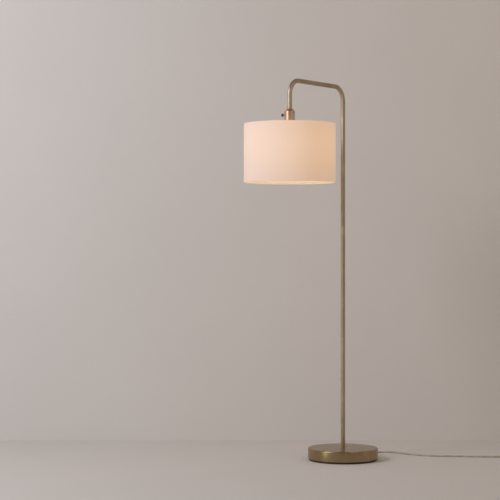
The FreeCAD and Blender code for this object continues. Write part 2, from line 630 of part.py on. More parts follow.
# ---------------------------------------------------------------- cord on the floor
PLUG_H = 14.0
PLUG_W = 35.0
PLUG_L = 36.0
PLUG_NECK_L = 24.0
PIN_R = 2.0
PIN_L = 19.0
PIN_SPACING = 18.6
NECK_R = (4.3, 5.4)        # plug's neck, at the lead and at the body
COIL_SOFT = 2.8            # rounding of the coil's outer shape
TIE_W = 9.0


def coil_centre():
    """Centre of the coil: beside the lead's end, on the side away from the lead's left turn."""
    heading = V(*CORD_END_DIR, 0).normalize()
    side = V(heading.y, -heading.x, 0)
    return V(CORD_ROUTE[-1][0], CORD_ROUTE[-1][1], 0) + side * COIL_TURNS[1], heading, side


def make_coil():
    """Outer shape of the tied coil, and its tie."""
    centre, heading, side = coil_centre()
    inner_r, outer_r = COIL_TURNS[0] - CORD_R, COIL_TURNS[1] + CORD_R
    high = COIL_LAYERS * 2 * CORD_R
    coil = turned([(inner_r, TIE, COIL_SOFT), (outer_r, TIE, COIL_SOFT), (outer_r, TIE + high, COIL_SOFT),
                   (inner_r, TIE + high, COIL_SOFT)], centre.x, centre.y)
    tie_at = centre - heading * (inner_r + outer_r) / 2
    long_side = outer_r - inner_r + 2 * TIE
    tie = Part.makeBox(long_side, TIE_W, high + 2 * TIE, V(-long_side / 2, -TIE_W / 2, 0))
    tie = tie.makeFillet(2.2, [e for e in tie.Edges if abs(e.tangentAt(0).y) > 0.9])
    tie.rotate(V(0, 0, 0), UP, math.degrees(math.atan2(heading.y, heading.x)))
    tie.translate(V(tie_at.x, tie_at.y, 0))
    save(coil, "cord_coil")
    save(tie.cut(coil), "cord_tie")


def tail_points():
    """Lead from the coil's top turn down to the plug, which lies beside the coil."""
    centre, heading, side = coil_centre()
    start = centre + heading * COIL_TURNS[1]
    top = TIE + (COIL_LAYERS * 2 - 1) * CORD_R
    plug_z = PLUG_H / 2
    steps = ((0.0, top, 0.0), (0.22, top - 0.2, 0.6), (0.5, (top + plug_z) / 2, 1.6),
             (0.78, plug_z, 2.0), (1.0, plug_z, 2.0))
    return [start + side * (TAIL_RUN * t) + heading * out + UP * z for t, z, out in steps], heading, side


def make_cord():
    """The free lead: base to coil, coil, tail and plug."""
    make_coil()
    save_cord_run([V(*p) for p in CORD_ROUTE], "mains_cord")
    tail, heading, side = tail_points()
    save_cord_run(tail, "cord_tail")
    make_plug(tail[-1], heading, side)


def save_cord_run(points, node):
    """Write one stretch of the lead, and print its length, volume and radii."""
    radii = route_radii(points)
    edges = rounded_edges(points, radii)
    solid = sweep_round(edges, CORD_R)
    length = sum(edge.Length for edge in edges)
    ideal = math.pi * CORD_R ** 2 * length
    print("%s: length %.1f, volume %.4f of ideal, radii" % (node, length, solid.Volume / ideal),
          [round(r) for r in radii[1:-1]])
    save(solid, node)


def make_plug(end, heading, side):
    """Flat two-pin plug lying on the floor, its pins pointing away from the cord."""
    neck = turned([(CORD_R, 0), (NECK_R[0], 0, 0.6), (NECK_R[1], PLUG_NECK_L), (CORD_R, PLUG_NECK_L)])
    neck.rotate(V(0, 0, 0), V(1, 0, 0), -90)
    lead = Part.makeCylinder(CORD_R, PLUG_NECK_L, V(0, 0, 0), V(0, 1, 0))
    neck = neck.fuse(lead).removeSplitter()
    half_w, half_h = PLUG_W / 2, PLUG_H / 2
    outline = [V(-8, PLUG_NECK_L, 0), V(8, PLUG_NECK_L, 0), V(half_w, PLUG_NECK_L + 22, 0),
               V(half_w, PLUG_NECK_L + PLUG_L, 0), V(-half_w, PLUG_NECK_L + PLUG_L, 0),
               V(-half_w, PLUG_NECK_L + 22, 0)]
    edges = rounded_edges(outline, [3.5, 3.5, 12, 1.5, 1.5, 12], closed=True)
    body = Part.Face(Part.Wire(edges)).extrude(UP * PLUG_H)
    body.translate(V(0, 0, -half_h))
    level = [e for e in body.Edges if abs(abs(e.CenterOfMass.z) - half_h) < 1e-6]
    body = body.makeFillet(2.4, level)
    pins = []
    for x in (-PIN_SPACING / 2, PIN_SPACING / 2):
        pin = turned([(0, 0), (PIN_R, 0), (PIN_R, PIN_L, 1.2), (0, PIN_L)])
        pin.rotate(V(0, 0, 0), V(1, 0, 0), -90)
        pin.translate(V(x, PLUG_NECK_L + PLUG_L, 0))
        pins.append(pin)
    turn = math.degrees(math.atan2(side.y, side.x)) - 90
    shapes = {"plug_body": body.fuse(neck).removeSplitter(), "plug_pins": group(pins)}
    for node, shape in shapes.items():
        shape.rotate(V(0, 0, 0), UP, turn)
        shape.translate(end)
        save(shape, node)
    for pin in shapes["plug_pins"].Solids:
        box = pin.BoundBox
        print("pin centre", [round(c, 2) for c in (box.Center.x, box.Center.y, box.Center.z)])


def main():
    """Build every node."""
    os.makedirs("parts", exist_ok=True)
    make_base()
    make_pole()
    make_arm()
    make_lampholder()
    make_bulb()
    make_shade()
    make_inner_flex()
    make_cord()


main()
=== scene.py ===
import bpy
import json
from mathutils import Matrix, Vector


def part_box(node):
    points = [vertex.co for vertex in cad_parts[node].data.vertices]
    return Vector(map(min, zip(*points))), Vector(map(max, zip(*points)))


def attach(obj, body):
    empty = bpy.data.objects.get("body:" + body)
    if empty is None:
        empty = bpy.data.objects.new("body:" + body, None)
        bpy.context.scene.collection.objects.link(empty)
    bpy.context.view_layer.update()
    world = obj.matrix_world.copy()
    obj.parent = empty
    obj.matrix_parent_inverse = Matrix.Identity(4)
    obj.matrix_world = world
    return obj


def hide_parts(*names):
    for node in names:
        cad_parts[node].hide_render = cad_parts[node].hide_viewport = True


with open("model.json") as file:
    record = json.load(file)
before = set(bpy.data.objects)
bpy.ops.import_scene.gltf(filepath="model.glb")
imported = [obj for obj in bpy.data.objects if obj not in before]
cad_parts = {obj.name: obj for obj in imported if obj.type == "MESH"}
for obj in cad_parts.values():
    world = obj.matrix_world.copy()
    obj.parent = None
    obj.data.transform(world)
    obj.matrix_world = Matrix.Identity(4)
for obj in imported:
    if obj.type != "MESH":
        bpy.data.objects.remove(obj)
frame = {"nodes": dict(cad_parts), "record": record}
"""Arc floor lamp: the visible model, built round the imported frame."""

import json
import logging
import math
from dataclasses import dataclass, field
from enum import Enum
from typing import Any, Callable, Iterable, Optional, Sequence, Union

import bmesh
import bpy
from mathutils import Matrix, Vector

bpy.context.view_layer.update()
MM = 0.001
LOG = logging.getLogger("arc_floor_lamp")

Point = tuple[float, float]
Corner = Sequence[float]
Colour = tuple[float, float, float]
Feed = Union[float, tuple, bpy.types.NodeSocket]


# ------------------------------------------------------------------ mesh making
class Across(Enum):
    """Which coordinate runs across a metal's brush marks."""

    PROFILE = "profile"
    AROUND = "around"
    HEIGHT = "height"


def rounded(corners: Sequence[Corner], closed: bool = True, steps: int = 5) -> list[Point]:
    """Round an outline's corners with tangent arcs.

    Args:
        corners: (radius, height) points, each with an optional third value, its corner radius.
        closed: Whether the last point joins the first.
        steps: Straight pieces in each arc.

    Returns:
        The outline's points, as (radius, height).
    """
    count = len(corners)
    points: list[Point] = []
    for i, corner in enumerate(corners):
        here = Vector(corner[:2])
        at_end = not closed and i in (0, count - 1)
        if len(corner) < 3 or corner[2] <= 0 or at_end:
            points.append((here.x, here.y))
            continue
        into = (Vector(corners[i - 1][:2]) - here).normalized()
        out = (Vector(corners[(i + 1) % count][:2]) - here).normalized()
        half = into.angle(out) / 2
        centre = here + (into + out).normalized() * (corner[2] / math.sin(half))
        start = here + into * (corner[2] / math.tan(half)) - centre
        end = here + out * (corner[2] / math.tan(half)) - centre
        turn = start.angle_signed(end)
        for k in range(steps + 1):
            swung = start.copy()
            swung.rotate(Matrix.Rotation(-turn * k / steps, 2))
            points.append(tuple(centre + swung))
    return points


def as_object(name: str, mesh: bpy.types.Mesh, crease: float = 38.0) -> bpy.types.Object:
    """Put a mesh in the scene, smooth but for its sharp corners.

    Args:
        name: The piece's name.
        mesh: Its mesh, in the frame's own place.
        crease: Angle in degrees above which an edge stays sharp.

    Returns:
        The new object.
    """
    mesh.shade_smooth()
    mesh.set_sharp_from_angle(angle=math.radians(crease))
    return link(name, mesh)


def to_mesh(name: str, made: bmesh.types.BMesh) -> bpy.types.Mesh:
    """A new mesh with what was made, which is then freed.

    Args:
        name: The mesh's name.
        made: What was made.

    Returns:
        The mesh.
    """
    mesh = bpy.data.meshes.new(name)
    made.to_mesh(mesh)
    made.free()
    return mesh


def link(name: str, data: bpy.types.ID) -> bpy.types.Object:
    """A new object in the scene.

    Args:
        name: The object's name.
        data: Its mesh, curve, light or camera.

    Returns:
        The new object.
    """
    piece = bpy.data.objects.new(name, data)
    bpy.context.scene.collection.objects.link(piece)
    return piece


def centre_of(node: str) -> Vector:
    """Middle of a CAD node's box."""
    low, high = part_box(node)
    return (low + high) / 2


def grid_mesh(name: str, rows: Sequence[Sequence[Vector]], uvs: Sequence[Sequence[Point]],
              wrap: bool, close: bool) -> bpy.types.Mesh:
    """Mesh of quads through rows of points.

    Args:
        name: The mesh's name.
        rows: Rows of points, all of one length.
        uvs: Surface coordinates in metres, with one more column where the rows wrap.
        wrap: Whether each row's end joins its start.
        close: Whether the last row joins the first.

    Returns:
        The mesh, with a UV map named Surface.
    """
    made = bmesh.new()
    layer = made.loops.layers.uv.new("Surface")
    grid = [[made.verts.new(p) for p in row] for row in rows]
    columns = len(rows[0])
    for r in range(len(rows) if close else len(rows) - 1):
        below, above = grid[r], grid[(r + 1) % len(rows)]
        for c in range(columns if wrap else columns - 1):
            following = (c + 1) % columns
            corners = [below[c], below[following], above[following], above[c]]
            if len(set(corners)) < 4:
                continue
            face = made.faces.new(corners)
            marks = (uvs[r][c], uvs[r][c + 1], uvs[r + 1][c + 1], uvs[r + 1][c])
            for loop, mark in zip(face.loops, marks):
                loop[layer].uv = mark
    bmesh.ops.remove_doubles(made, verts=made.verts, dist=1e-7)
    bmesh.ops.recalc_face_normals(made, faces=made.faces)
    return to_mesh(name, made)


def lathe(name: str, outline: Sequence[Point], centre: Point = (0.0, 0.0), segments: int = 96,
          closed: bool = True, scallop: Optional[Callable[[float, float, float], float]] = None,
          ) -> bpy.types.Object:
    """Turn an outline about an upright axis.

    Args:
        name: The piece's name.
        outline: (radius, height) points in metres.
        centre: Where the axis stands.
        segments: Faces round the axis.
        closed: Whether the outline is closed.
        scallop: Optional change of radius, from (angle, radius, height).

    Returns:
        The new object.
    """
    far = max(r for r, _ in outline)
    rows, uvs, travelled = [], [], 0.0
    last = outline[0]
    for r, z in list(outline) + ([outline[0]] if closed else []):
        travelled += math.dist(last, (r, z))
        last = (r, z)
        uvs.append([(2 * math.pi * far * k / segments, travelled) for k in range(segments + 1)])
        ring = []
        for k in range(segments):
            angle = 2 * math.pi * k / segments
            reach = r + (scallop(angle, r, z) if scallop else 0.0)
            ring.append(Vector((centre[0] + reach * math.cos(angle), centre[1] + reach * math.sin(angle), z)))
        rows.append(ring)
    if closed:
        rows.pop()
    return as_object(name, grid_mesh(name, rows, uvs, wrap=True, close=closed))


def frames_along(line: Sequence[Vector]) -> list[tuple[Vector, Vector]]:
    """Two crossways directions at each point of a line, carried along it without twist.

    Args:
        line: Points of the line.

    Returns:
        The side and up directions at each point.
    """
    tangents = []
    for i in range(len(line)):
        ahead = line[min(i + 1, len(line) - 1)] - line[max(i - 1, 0)]
        tangents.append(ahead.normalized())
    side = tangents[0].orthogonal().normalized()
    frames = []
    for before, tangent in zip([tangents[0]] + tangents, tangents):
        side.rotate(before.rotation_difference(tangent))
        side = (side - tangent * side.dot(tangent)).normalized()
        frames.append((side.copy(), tangent.cross(side)))
    return frames


def sweep(name: str, line: Sequence[Vector], section: Sequence[Point], bore: Sequence[Point] = (),
          ) -> bpy.types.Object:
    """Carry a closed section along a line, with closed ends.

    Args:
        name: The piece's name.
        line: Points of the centre line, in metres.
        section: The section's outside, as (side, up) points.
        bore: The section's inside, with as many points, or nothing for a solid bar.

    Returns:
        The new object.
    """
    around = [0.0]
    for a, b in zip(section, list(section[1:]) + [section[0]]):
        around.append(around[-1] + math.dist(a, b))
    rows, uvs, travelled = [], [], 0.0
    frames = frames_along(line)

    def ring(at: int, points: Sequence[Point]) -> list[Vector]:
        """Section points carried to one place on the line."""
        side, up = frames[at]
        return [line[at] + side * x + up * y for x, y in points]

    for i, point in enumerate(line):
        travelled += (point - line[max(i - 1, 0)]).length
        rows.append(ring(i, section))
        uvs.append([(mark, travelled) for mark in around])
    inside = [i for i in reversed(range(len(line)))] if bore else [len(line) - 1, 0]
    for i in inside:
        rows.append(ring(i, bore) if bore else [line[i].copy() for _ in section])
        uvs.append([(mark, travelled) for mark in around])
    uvs.append(uvs[0])
    mesh = grid_mesh(name, rows, uvs, wrap=True, close=bool(bore))
    if not bore:
        cap_start(mesh, len(section))
    return as_object(name, mesh)


def cap_start(mesh: bpy.types.Mesh, columns: int) -> None:
    """Close a solid bar's open first ring.

    Args:
        mesh: The bar's mesh.
        columns: Points round its section.
    """
    made = bmesh.new()
    made.from_mesh(mesh)
    loose = [edge for edge in made.edges if edge.is_boundary]
    if loose:
        bmesh.ops.holes_fill(made, edges=loose, sides=columns)
        bmesh.ops.recalc_face_normals(made, faces=made.faces)
    made.to_mesh(mesh)
    made.free()


def circle(radius: float, count: int) -> list[Point]:
    """Points round a circle."""
    turns = (2 * math.pi * k / count for k in range(count))
    return [(radius * math.cos(t), radius * math.sin(t)) for t in turns]


def bent_line(corners: Sequence[Vector], radii: Sequence[float], spacing: float) -> list[Vector]:
    """Straight runs joined by tangent arcs.

    Args:
        corners: The line's corners.
        radii: Arc radius at each corner, nought at the ends.
        spacing: Farthest apart that points may be, in metres.

    Returns:
        Points along the line.
    """
    points = [corners[0].copy()]

    def run_to(target: Vector) -> None:
        """Add evenly spaced points up to a target.

        Args:
            target: Where the run ends.
        """
        start = points[-1].copy()
        count = max(1, math.ceil((target - start).length / spacing))
        points.extend(start.lerp(target, k / count) for k in range(1, count + 1))

    for before, here, after, radius in zip(corners, corners[1:], corners[2:], radii[1:]):
        into, out = (before - here).normalized(), (after - here).normalized()
        half = into.angle(out) / 2
        centre = here + (into + out).normalized() * (radius / math.sin(half))
        run_to(here + into * (radius / math.tan(half)))
        start = points[-1] - centre
        end = here + out * (radius / math.tan(half)) - centre
        count = max(6, math.ceil(start.angle(end) * radius / spacing))
        points.extend(centre + start.slerp(end, k / count) * radius for k in range(1, count + 1))
    run_to(corners[-1])
    return points


def move(piece: bpy.types.Object, matrix: Matrix) -> bpy.types.Object:
    """Move a piece's mesh, so that its object stays at the origin.

    Args:
        piece: The piece.
        matrix: How it moves.

    Returns:
        The same piece.
    """
    piece.data.transform(matrix)
    piece.data.update()
    return piece


def joined(name: str, pieces: Sequence[bpy.types.Object], crease: float) -> bpy.types.Object:
    """One object from several meshes, smooth but for edges above the crease angle, in degrees.

    Args:
        name: The piece's name.
        pieces: What it is joined from.
        crease: Angle in degrees above which an edge stays sharp.

    Returns:
        The new object.
    """
    made = bmesh.new()
    for piece in pieces:
        made.from_mesh(piece.data)
        mesh = piece.data
        bpy.data.objects.remove(piece)
        bpy.data.meshes.remove(mesh)
    return as_object(name, to_mesh(name, made), crease)


def settle(piece: bpy.types.Object) -> bpy.types.Object:
    """Apply a piece's modifiers to its mesh.

    Args:
        piece: The piece.

    Returns:
        The same piece.
    """
    graph = bpy.context.evaluated_depsgraph_get()
    mesh = bpy.data.meshes.new_from_object(piece.evaluated_get(graph))
    piece.modifiers.clear()
    piece.data = mesh
    return piece


# ------------------------------------------------------------------ shader helpers
class Painter:
    """Adds nodes to one node tree."""

    def __init__(self, tree: bpy.types.NodeTree) -> None:
        """Keep the tree to paint in."""
        self.tree = tree

    def node(self, kind: str, inputs: Optional[dict] = None, **options: Any) -> bpy.types.Node:
        """Add a node.

        Args:
            kind: The node's type, without its ShaderNode prefix.
            inputs: Socket name or number to a value, or to a socket to link from.
            options: Properties of the node itself.

        Returns:
            The new node.
        """
        made = self.tree.nodes.new("ShaderNode" + kind)
        for key, value in options.items():
            setattr(made, key, value)
        return self.put(made, inputs or {})

    def put(self, made: bpy.types.Node, inputs: dict) -> bpy.types.Node:
        """Set or link a node's inputs by name or number.

        Args:
            made: The node.
            inputs: Socket name or number to a value or socket.

        Returns:
            The same node.
        """
        for key, value in inputs.items():
            self.feed(made.inputs[key], value)
        return made

    def feed(self, socket: bpy.types.NodeSocket, value: Feed) -> None:
        """Set a socket's value, or link it to another socket.

        Args:
            socket: The socket.
            value: What it gets.
        """
        if isinstance(value, bpy.types.NodeSocket):
            self.tree.links.new(value, socket)
        elif isinstance(value, tuple) and len(value) == 3 and socket.type == "RGBA":
            socket.default_value = (*value, 1.0)
        else:
            socket.default_value = value

    def math(self, operation: str, a: Feed, b: Feed = 0.0, clamp: bool = False) -> bpy.types.NodeSocket:
        """Result of a math node."""
        return self.node("Math", {0: a, 1: b}, operation=operation, use_clamp=clamp).outputs[0]

    def blend(self, amount: Feed, a: Feed, b: Feed) -> bpy.types.NodeSocket:
        """Colour between a and b."""
        return self.node("Mix", {0: amount, 6: a, 7: b}, data_type="RGBA").outputs[2]

    def between(self, amount: Feed, a: Feed, b: Feed) -> bpy.types.NodeSocket:
        """Value between a and b."""
        return self.node("Mix", {0: amount, 2: a, 3: b}, data_type="FLOAT").outputs[0]

    def remap(self, value: Feed, low: float, high: float) -> bpy.types.NodeSocket:
        """Value from 0..1 to low..high."""
        return self.node("MapRange", {"Value": value, "To Min": low, "To Max": high}).outputs[0]

    def noise(self, place: Feed, scale: float, detail: float = 3.0, **extra: Feed) -> bpy.types.NodeSocket:
        """Plain noise at a scale per metre."""
        inputs = {"Vector": place, "Scale": scale, "Detail": detail, **extra}
        return self.node("TexNoise", inputs).outputs["Fac"]


class Effects:
    """Shared surface effects, each a node group built once."""

    def __init__(self) -> None:
        """Start with no groups."""
        self._built: dict[str, bpy.types.NodeTree] = {}

    def get(self, name: str) -> bpy.types.NodeTree:
        """The group of that name, built the first time that it is asked for.

        Args:
            name: The effect's name.

        Returns:
            Its group.
        """
        if name not in self._built:
            self._built[name] = getattr(self, "_" + name)()
        return self._built[name]

    def place(self, painter: Painter, name: str, **inputs: Feed) -> bpy.types.Node:
        """Put one effect in a material.

        Args:
            painter: Painter of the material.
            name: The effect's name.
            inputs: Named inputs, with underscores for spaces.

        Returns:
            The group node.
        """
        made = painter.node("Group", node_tree=self.get(name))
        return painter.put(made, {key.replace("_", " "): value for key, value in inputs.items()})

    @staticmethod
    def _start(name: str, inputs: dict[str, tuple[str, float]], outputs: Iterable[str],
               ) -> tuple[Painter, bpy.types.Node, bpy.types.Node]:
        """New group with its named sockets.

        Args:
            name: The group's name.
            inputs: Socket name to its kind and first value.
            outputs: Names of the value outputs.

        Returns:
            A painter for the group, its input node and its output node.
        """
        tree = bpy.data.node_groups.new(name, "ShaderNodeTree")
        for socket, (kind, value) in inputs.items():
            made = tree.interface.new_socket(name=socket, in_out="INPUT", socket_type="NodeSocket" + kind)
            if kind == "Float":
                made.default_value = value
        for socket in outputs:
            tree.interface.new_socket(name=socket, in_out="OUTPUT", socket_type="NodeSocketFloat")
        painter = Painter(tree)
        return painter, tree.nodes.new("NodeGroupInput"), tree.nodes.new("NodeGroupOutput")

    def _brushed_grain(self) -> bpy.types.NodeTree:
        """Fine lines left by a brushing belt, long along it and close together across it.

        Returns:
            The group.
        """
        paint, given, out = self._start("brushed_grain", {
            "Place": ("Vector", 0), "Across": ("Float", 0.0), "Fineness": ("Float", 2500.0),
            "Run": ("Float", 12.0)}, ["Lines", "Streaks"])
        across = paint.math("MULTIPLY", given.outputs["Across"], given.outputs["Fineness"])
        fine = paint.node("TexNoise", {"Vector": given.outputs["Place"], "W": across,
                                       "Scale": given.outputs["Run"], "Detail": 2.0}, noise_dimensions="4D")
        broad_across = paint.math("MULTIPLY", across, 0.12)
        broad = paint.node("TexNoise", {"Vector": given.outputs["Place"], "W": broad_across,
                                        "Scale": 7.0, "Detail": 3.0}, noise_dimensions="4D")
        paint.put(out, {"Lines": fine.outputs["Fac"]})
        paint.put(out, {"Streaks": broad.outputs["Fac"]})
        return paint.tree

    def _patina(self) -> bpy.types.NodeTree:
        """Cloudy darkening of an aged plating, with small spots.

        Returns:
            The group.
        """
        paint, given, out = self._start("patina", {
            "Place": ("Vector", 0), "Scale": ("Float", 9.0), "Contrast": ("Float", 2.0)}, ["Clouds", "Spots"])
        cloud = paint.node("TexNoise", {"Vector": given.outputs["Place"], "Scale": given.outputs["Scale"],
                                        "Detail": 6.0, "Roughness": 0.62, "Distortion": 0.4})
        centred = paint.math("SUBTRACT", cloud.outputs["Fac"], 0.5)
        strong = paint.math("MULTIPLY", centred, given.outputs["Contrast"])
        paint.put(out, {"Clouds": paint.math("ADD", strong, 0.5, clamp=True)})
        tight = paint.math("MULTIPLY", given.outputs["Scale"], 38.0)
        spots = paint.node("TexVoronoi", {"Vector": given.outputs["Place"], "Scale": tight})
        near = paint.math("LESS_THAN", spots.outputs["Distance"], 0.13)
        paint.put(out, {"Spots": paint.math("MULTIPLY", near, cloud.outputs["Fac"])})
        return paint.tree

    def _edge_wear(self) -> bpy.types.NodeTree:
        """Mask along outside edges, broken up as handling wears them.

        Returns:
            The group.
        """
        paint, given, out = self._start("edge_wear", {
            "Place": ("Vector", 0), "Width": ("Float", 0.0012), "Strength": ("Float", 3.0)}, ["Mask"])
        soft = paint.node("Bevel", {"Radius": given.outputs["Width"]}, samples=4)
        plain = paint.node("NewGeometry")
        facing = paint.node("VectorMath", {0: soft.outputs[0], 1: plain.outputs["Normal"]},
                            operation="DOT_PRODUCT")
        turned = paint.math("SUBTRACT", 1.0, facing.outputs["Value"])
        raised = paint.math("MULTIPLY", turned, given.outputs["Strength"])
        rub = paint.noise(given.outputs["Place"], 160.0, 4.0)
        paint.put(out, {"Mask": paint.math("MULTIPLY", raised, rub, clamp=True)})
        return paint.tree

    def _dust(self) -> bpy.types.NodeTree:
        """Light dust on faces that look up.

        Returns:
            The group.
        """
        paint, given, out = self._start("dust", {"Place": ("Vector", 0), "Amount": ("Float", 0.2)}, ["Mask"])
        plain = paint.node("NewGeometry")
        parts = paint.node("SeparateXYZ", {0: plain.outputs["Normal"]})
        upward = paint.math("POWER", paint.math("MAXIMUM", parts.outputs["Z"], 0.0), 4.0)
        patchy = paint.noise(given.outputs["Place"], 30.0, 5.0)
        mask = paint.math("MULTIPLY", upward, patchy)
        paint.put(out, {"Mask": paint.math("MULTIPLY", mask, given.outputs["Amount"], clamp=True)})
        return paint.tree

    def _plain_weave(self) -> bpy.types.NodeTree:
        """Warp and weft over and under each other, with uneven linen yarns.

        Returns:
            The group.
        """
        paint, given, out = self._start("plain_weave", {
            "Cloth": ("Vector", 0), "Threads": ("Float", 1400.0), "Slub": ("Float", 0.5)},
            ["Height", "Yarn", "Gap"])
        wander = paint.node("TexNoise", {"Vector": given.outputs["Cloth"], "Scale": 90.0, "Detail": 1.0})
        drift = paint.math("MULTIPLY", paint.math("SUBTRACT", wander.outputs["Fac"], 0.5), 0.0012)
        parts = paint.node("SeparateXYZ", {0: given.outputs["Cloth"]})
        waves, cells = [], []
        for axis in ("X", "Y"):
            moved = paint.math("ADD", parts.outputs[axis], drift)
            count = paint.math("MULTIPLY", moved, given.outputs["Threads"])
            waves.append(paint.math("ABSOLUTE", paint.math("SINE", paint.math("MULTIPLY", count, math.pi))))
            cells.append(paint.math("FLOOR", count))
        odd = paint.math("PINGPONG", paint.math("ADD", *cells), 1.0)
        over = paint.between(odd, *waves)
        stretched = []
        for axis, squeeze in (("X", (14.0, 900.0, 1.0)), ("Y", (900.0, 14.0, 1.0))):
            yarn_place = paint.node("VectorMath", {0: given.outputs["Cloth"], 1: squeeze},
                                    operation="MULTIPLY")
            stretched.append(paint.noise(yarn_place.outputs[0], 1.0, 3.0))
        yarn = paint.between(odd, *stretched)
        uneven = paint.math("MULTIPLY", yarn, given.outputs["Slub"])
        paint.put(out, {"Height": paint.math("ADD", over, uneven)})
        paint.put(out, {"Yarn": yarn})
        gap = paint.math("MULTIPLY", *(paint.math("SUBTRACT", 1.0, wave) for wave in waves))
        paint.put(out, {"Gap": gap})
        return paint.tree

    def _bulb_glow(self) -> bpy.types.NodeTree:
        """How strongly a bulb on the drum's axis lights its wall at each height.

        Returns:
            The group.
        """
        paint, given, out = self._start("bulb_glow", {
            "Place": ("Vector", 0), "Bulb Height": ("Float", 1.26), "Drum Radius": ("Float", 0.18),
            "Evenness": ("Float", 0.5)}, ["Glow"])
        parts = paint.node("SeparateXYZ", {0: given.outputs["Place"]})
        rise = paint.math("SUBTRACT", parts.outputs["Z"], given.outputs["Bulb Height"])
        share = paint.math("POWER", paint.math("DIVIDE", rise, given.outputs["Drum Radius"]), 2.0)
        direct = paint.math("POWER", paint.math("ADD", share, 1.0), -1.5)
        paint.put(out, {"Glow": paint.between(given.outputs["Evenness"], direct, 1.0)})
        return paint.tree

    def _moulded_skin(self) -> bpy.types.NodeTree:
        """Fine spark texture and slow flow marks of a moulded part.

        Returns:
            The group.
        """
        paint, given, out = self._start("moulded_skin", {
            "Place": ("Vector", 0), "Fineness": ("Float", 2600.0)}, ["Height", "Flow"])
        pits = paint.node("TexNoise", {"Vector": given.outputs["Place"], "Scale": given.outputs["Fineness"],
                                       "Detail": 2.0})
        paint.put(out, {"Height": pits.outputs["Fac"]})
        paint.put(out, {"Flow": paint.noise(given.outputs["Place"], 22.0, 4.0)})
        return paint.tree


EFFECTS = Effects()


# ------------------------------------------------------------------ finishes
PALE_DUST: Colour = (0.6, 0.57, 0.53)
GREY_DUST: Colour = (0.55, 0.52, 0.48)


@dataclass(frozen=True)
class Finish:
    """A finish with a name, and the record's slot that it belongs to."""

    slot: str

    def paint(self, paint: Painter, shader: bpy.types.Node, place: bpy.types.NodeSocket) -> None:
        """Feed the shader; each finish has its own way.

        Args:
            paint: Painter of the material.
            shader: Its Principled BSDF.
            place: Place on the object, in metres.
        """
        raise NotImplementedError

    def material(self) -> bpy.types.Material:
        """The finish's material, built new.

        Returns:
            The material.
        """
        made = bpy.data.materials.new(self.slot)
        made.use_nodes = True
        tree = made.node_tree
        tree.nodes.clear()
        paint = Painter(tree)
        shader = paint.node("BsdfPrincipled")
        output = paint.node("OutputMaterial", {"Surface": shader.outputs[0]})
        output.location = (600, 0)
        self.paint(paint, shader, paint.node("TexCoord").outputs["Object"])
        return made

    @staticmethod
    def bump(paint: Painter, shader: bpy.types.Node, height: Feed, depth: float,
             strength: float = 0.6) -> None:
        """Raise a height map on the shader.

        Args:
            paint: Painter of the material.
            shader: Its Principled BSDF.
            height: Socket of the height, from nought to one.
            depth: What one stands for, in metres.
            strength: Share of the effect.
        """
        made = paint.node("Bump", {"Height": height, "Distance": depth, "Strength": strength})
        paint.feed(shader.inputs["Normal"], made.outputs[0])


@dataclass(frozen=True)
class Metal(Finish):
    """Brushed or turned metal, with patina, worn edges and a little dust."""

    light: Colour = (0.6, 0.5, 0.35)
    dark: Colour = (0.4, 0.3, 0.2)
    worn: Colour = (0.7, 0.6, 0.45)
    roughness: tuple[float, float] = (0.28, 0.44)
    across: Across = Across.HEIGHT
    fineness: float = 2500.0
    patina: float = 2.0
    dusty: float = 0.15

    def paint(self, paint: Painter, shader: bpy.types.Node, place: bpy.types.NodeSocket) -> None:
        """Grain in height and roughness, clouds and wear in colour.

        Args:
            paint: Painter of the material.
            shader: Its Principled BSDF.
            place: Place on the object, in metres.
        """
        if self.across is Across.HEIGHT:
            across = paint.node("SeparateXYZ", {0: place}).outputs["Z"]
        else:
            uv = paint.node("UVMap", uv_map="Surface").outputs[0]
            axis = "Y" if self.across is Across.PROFILE else "X"
            across = paint.node("SeparateXYZ", {0: uv}).outputs[axis]
        grain = EFFECTS.place(paint, "brushed_grain", Place=place, Across=across, Fineness=self.fineness)
        aged = EFFECTS.place(paint, "patina", Place=place, Contrast=self.patina)
        wear = EFFECTS.place(paint, "edge_wear", Place=place)
        dust = EFFECTS.place(paint, "dust", Place=place, Amount=self.dusty)
        tone = paint.blend(aged.outputs["Clouds"], self.dark, self.light)
        streaky = paint.blend(paint.remap(grain.outputs["Streaks"], 0.0, 0.35), tone, self.dark)
        spotted = paint.blend(paint.math("MULTIPLY", aged.outputs["Spots"], 0.5), streaky, self.dark)
        rubbed = paint.blend(wear.outputs["Mask"], spotted, self.worn)
        dusted = paint.blend(dust.outputs["Mask"], rubbed, GREY_DUST)
        rough = paint.remap(grain.outputs["Lines"], *self.roughness)
        cloudy = paint.math("MULTIPLY", paint.math("SUBTRACT", 0.6, aged.outputs["Clouds"]), 0.1)
        paint.put(shader, {"Base Color": dusted, "Metallic": 1.0,
                           "Roughness": paint.math("ADD", rough, cloudy, clamp=True)})
        self.bump(paint, shader, grain.outputs["Lines"], 0.00002, 0.35)


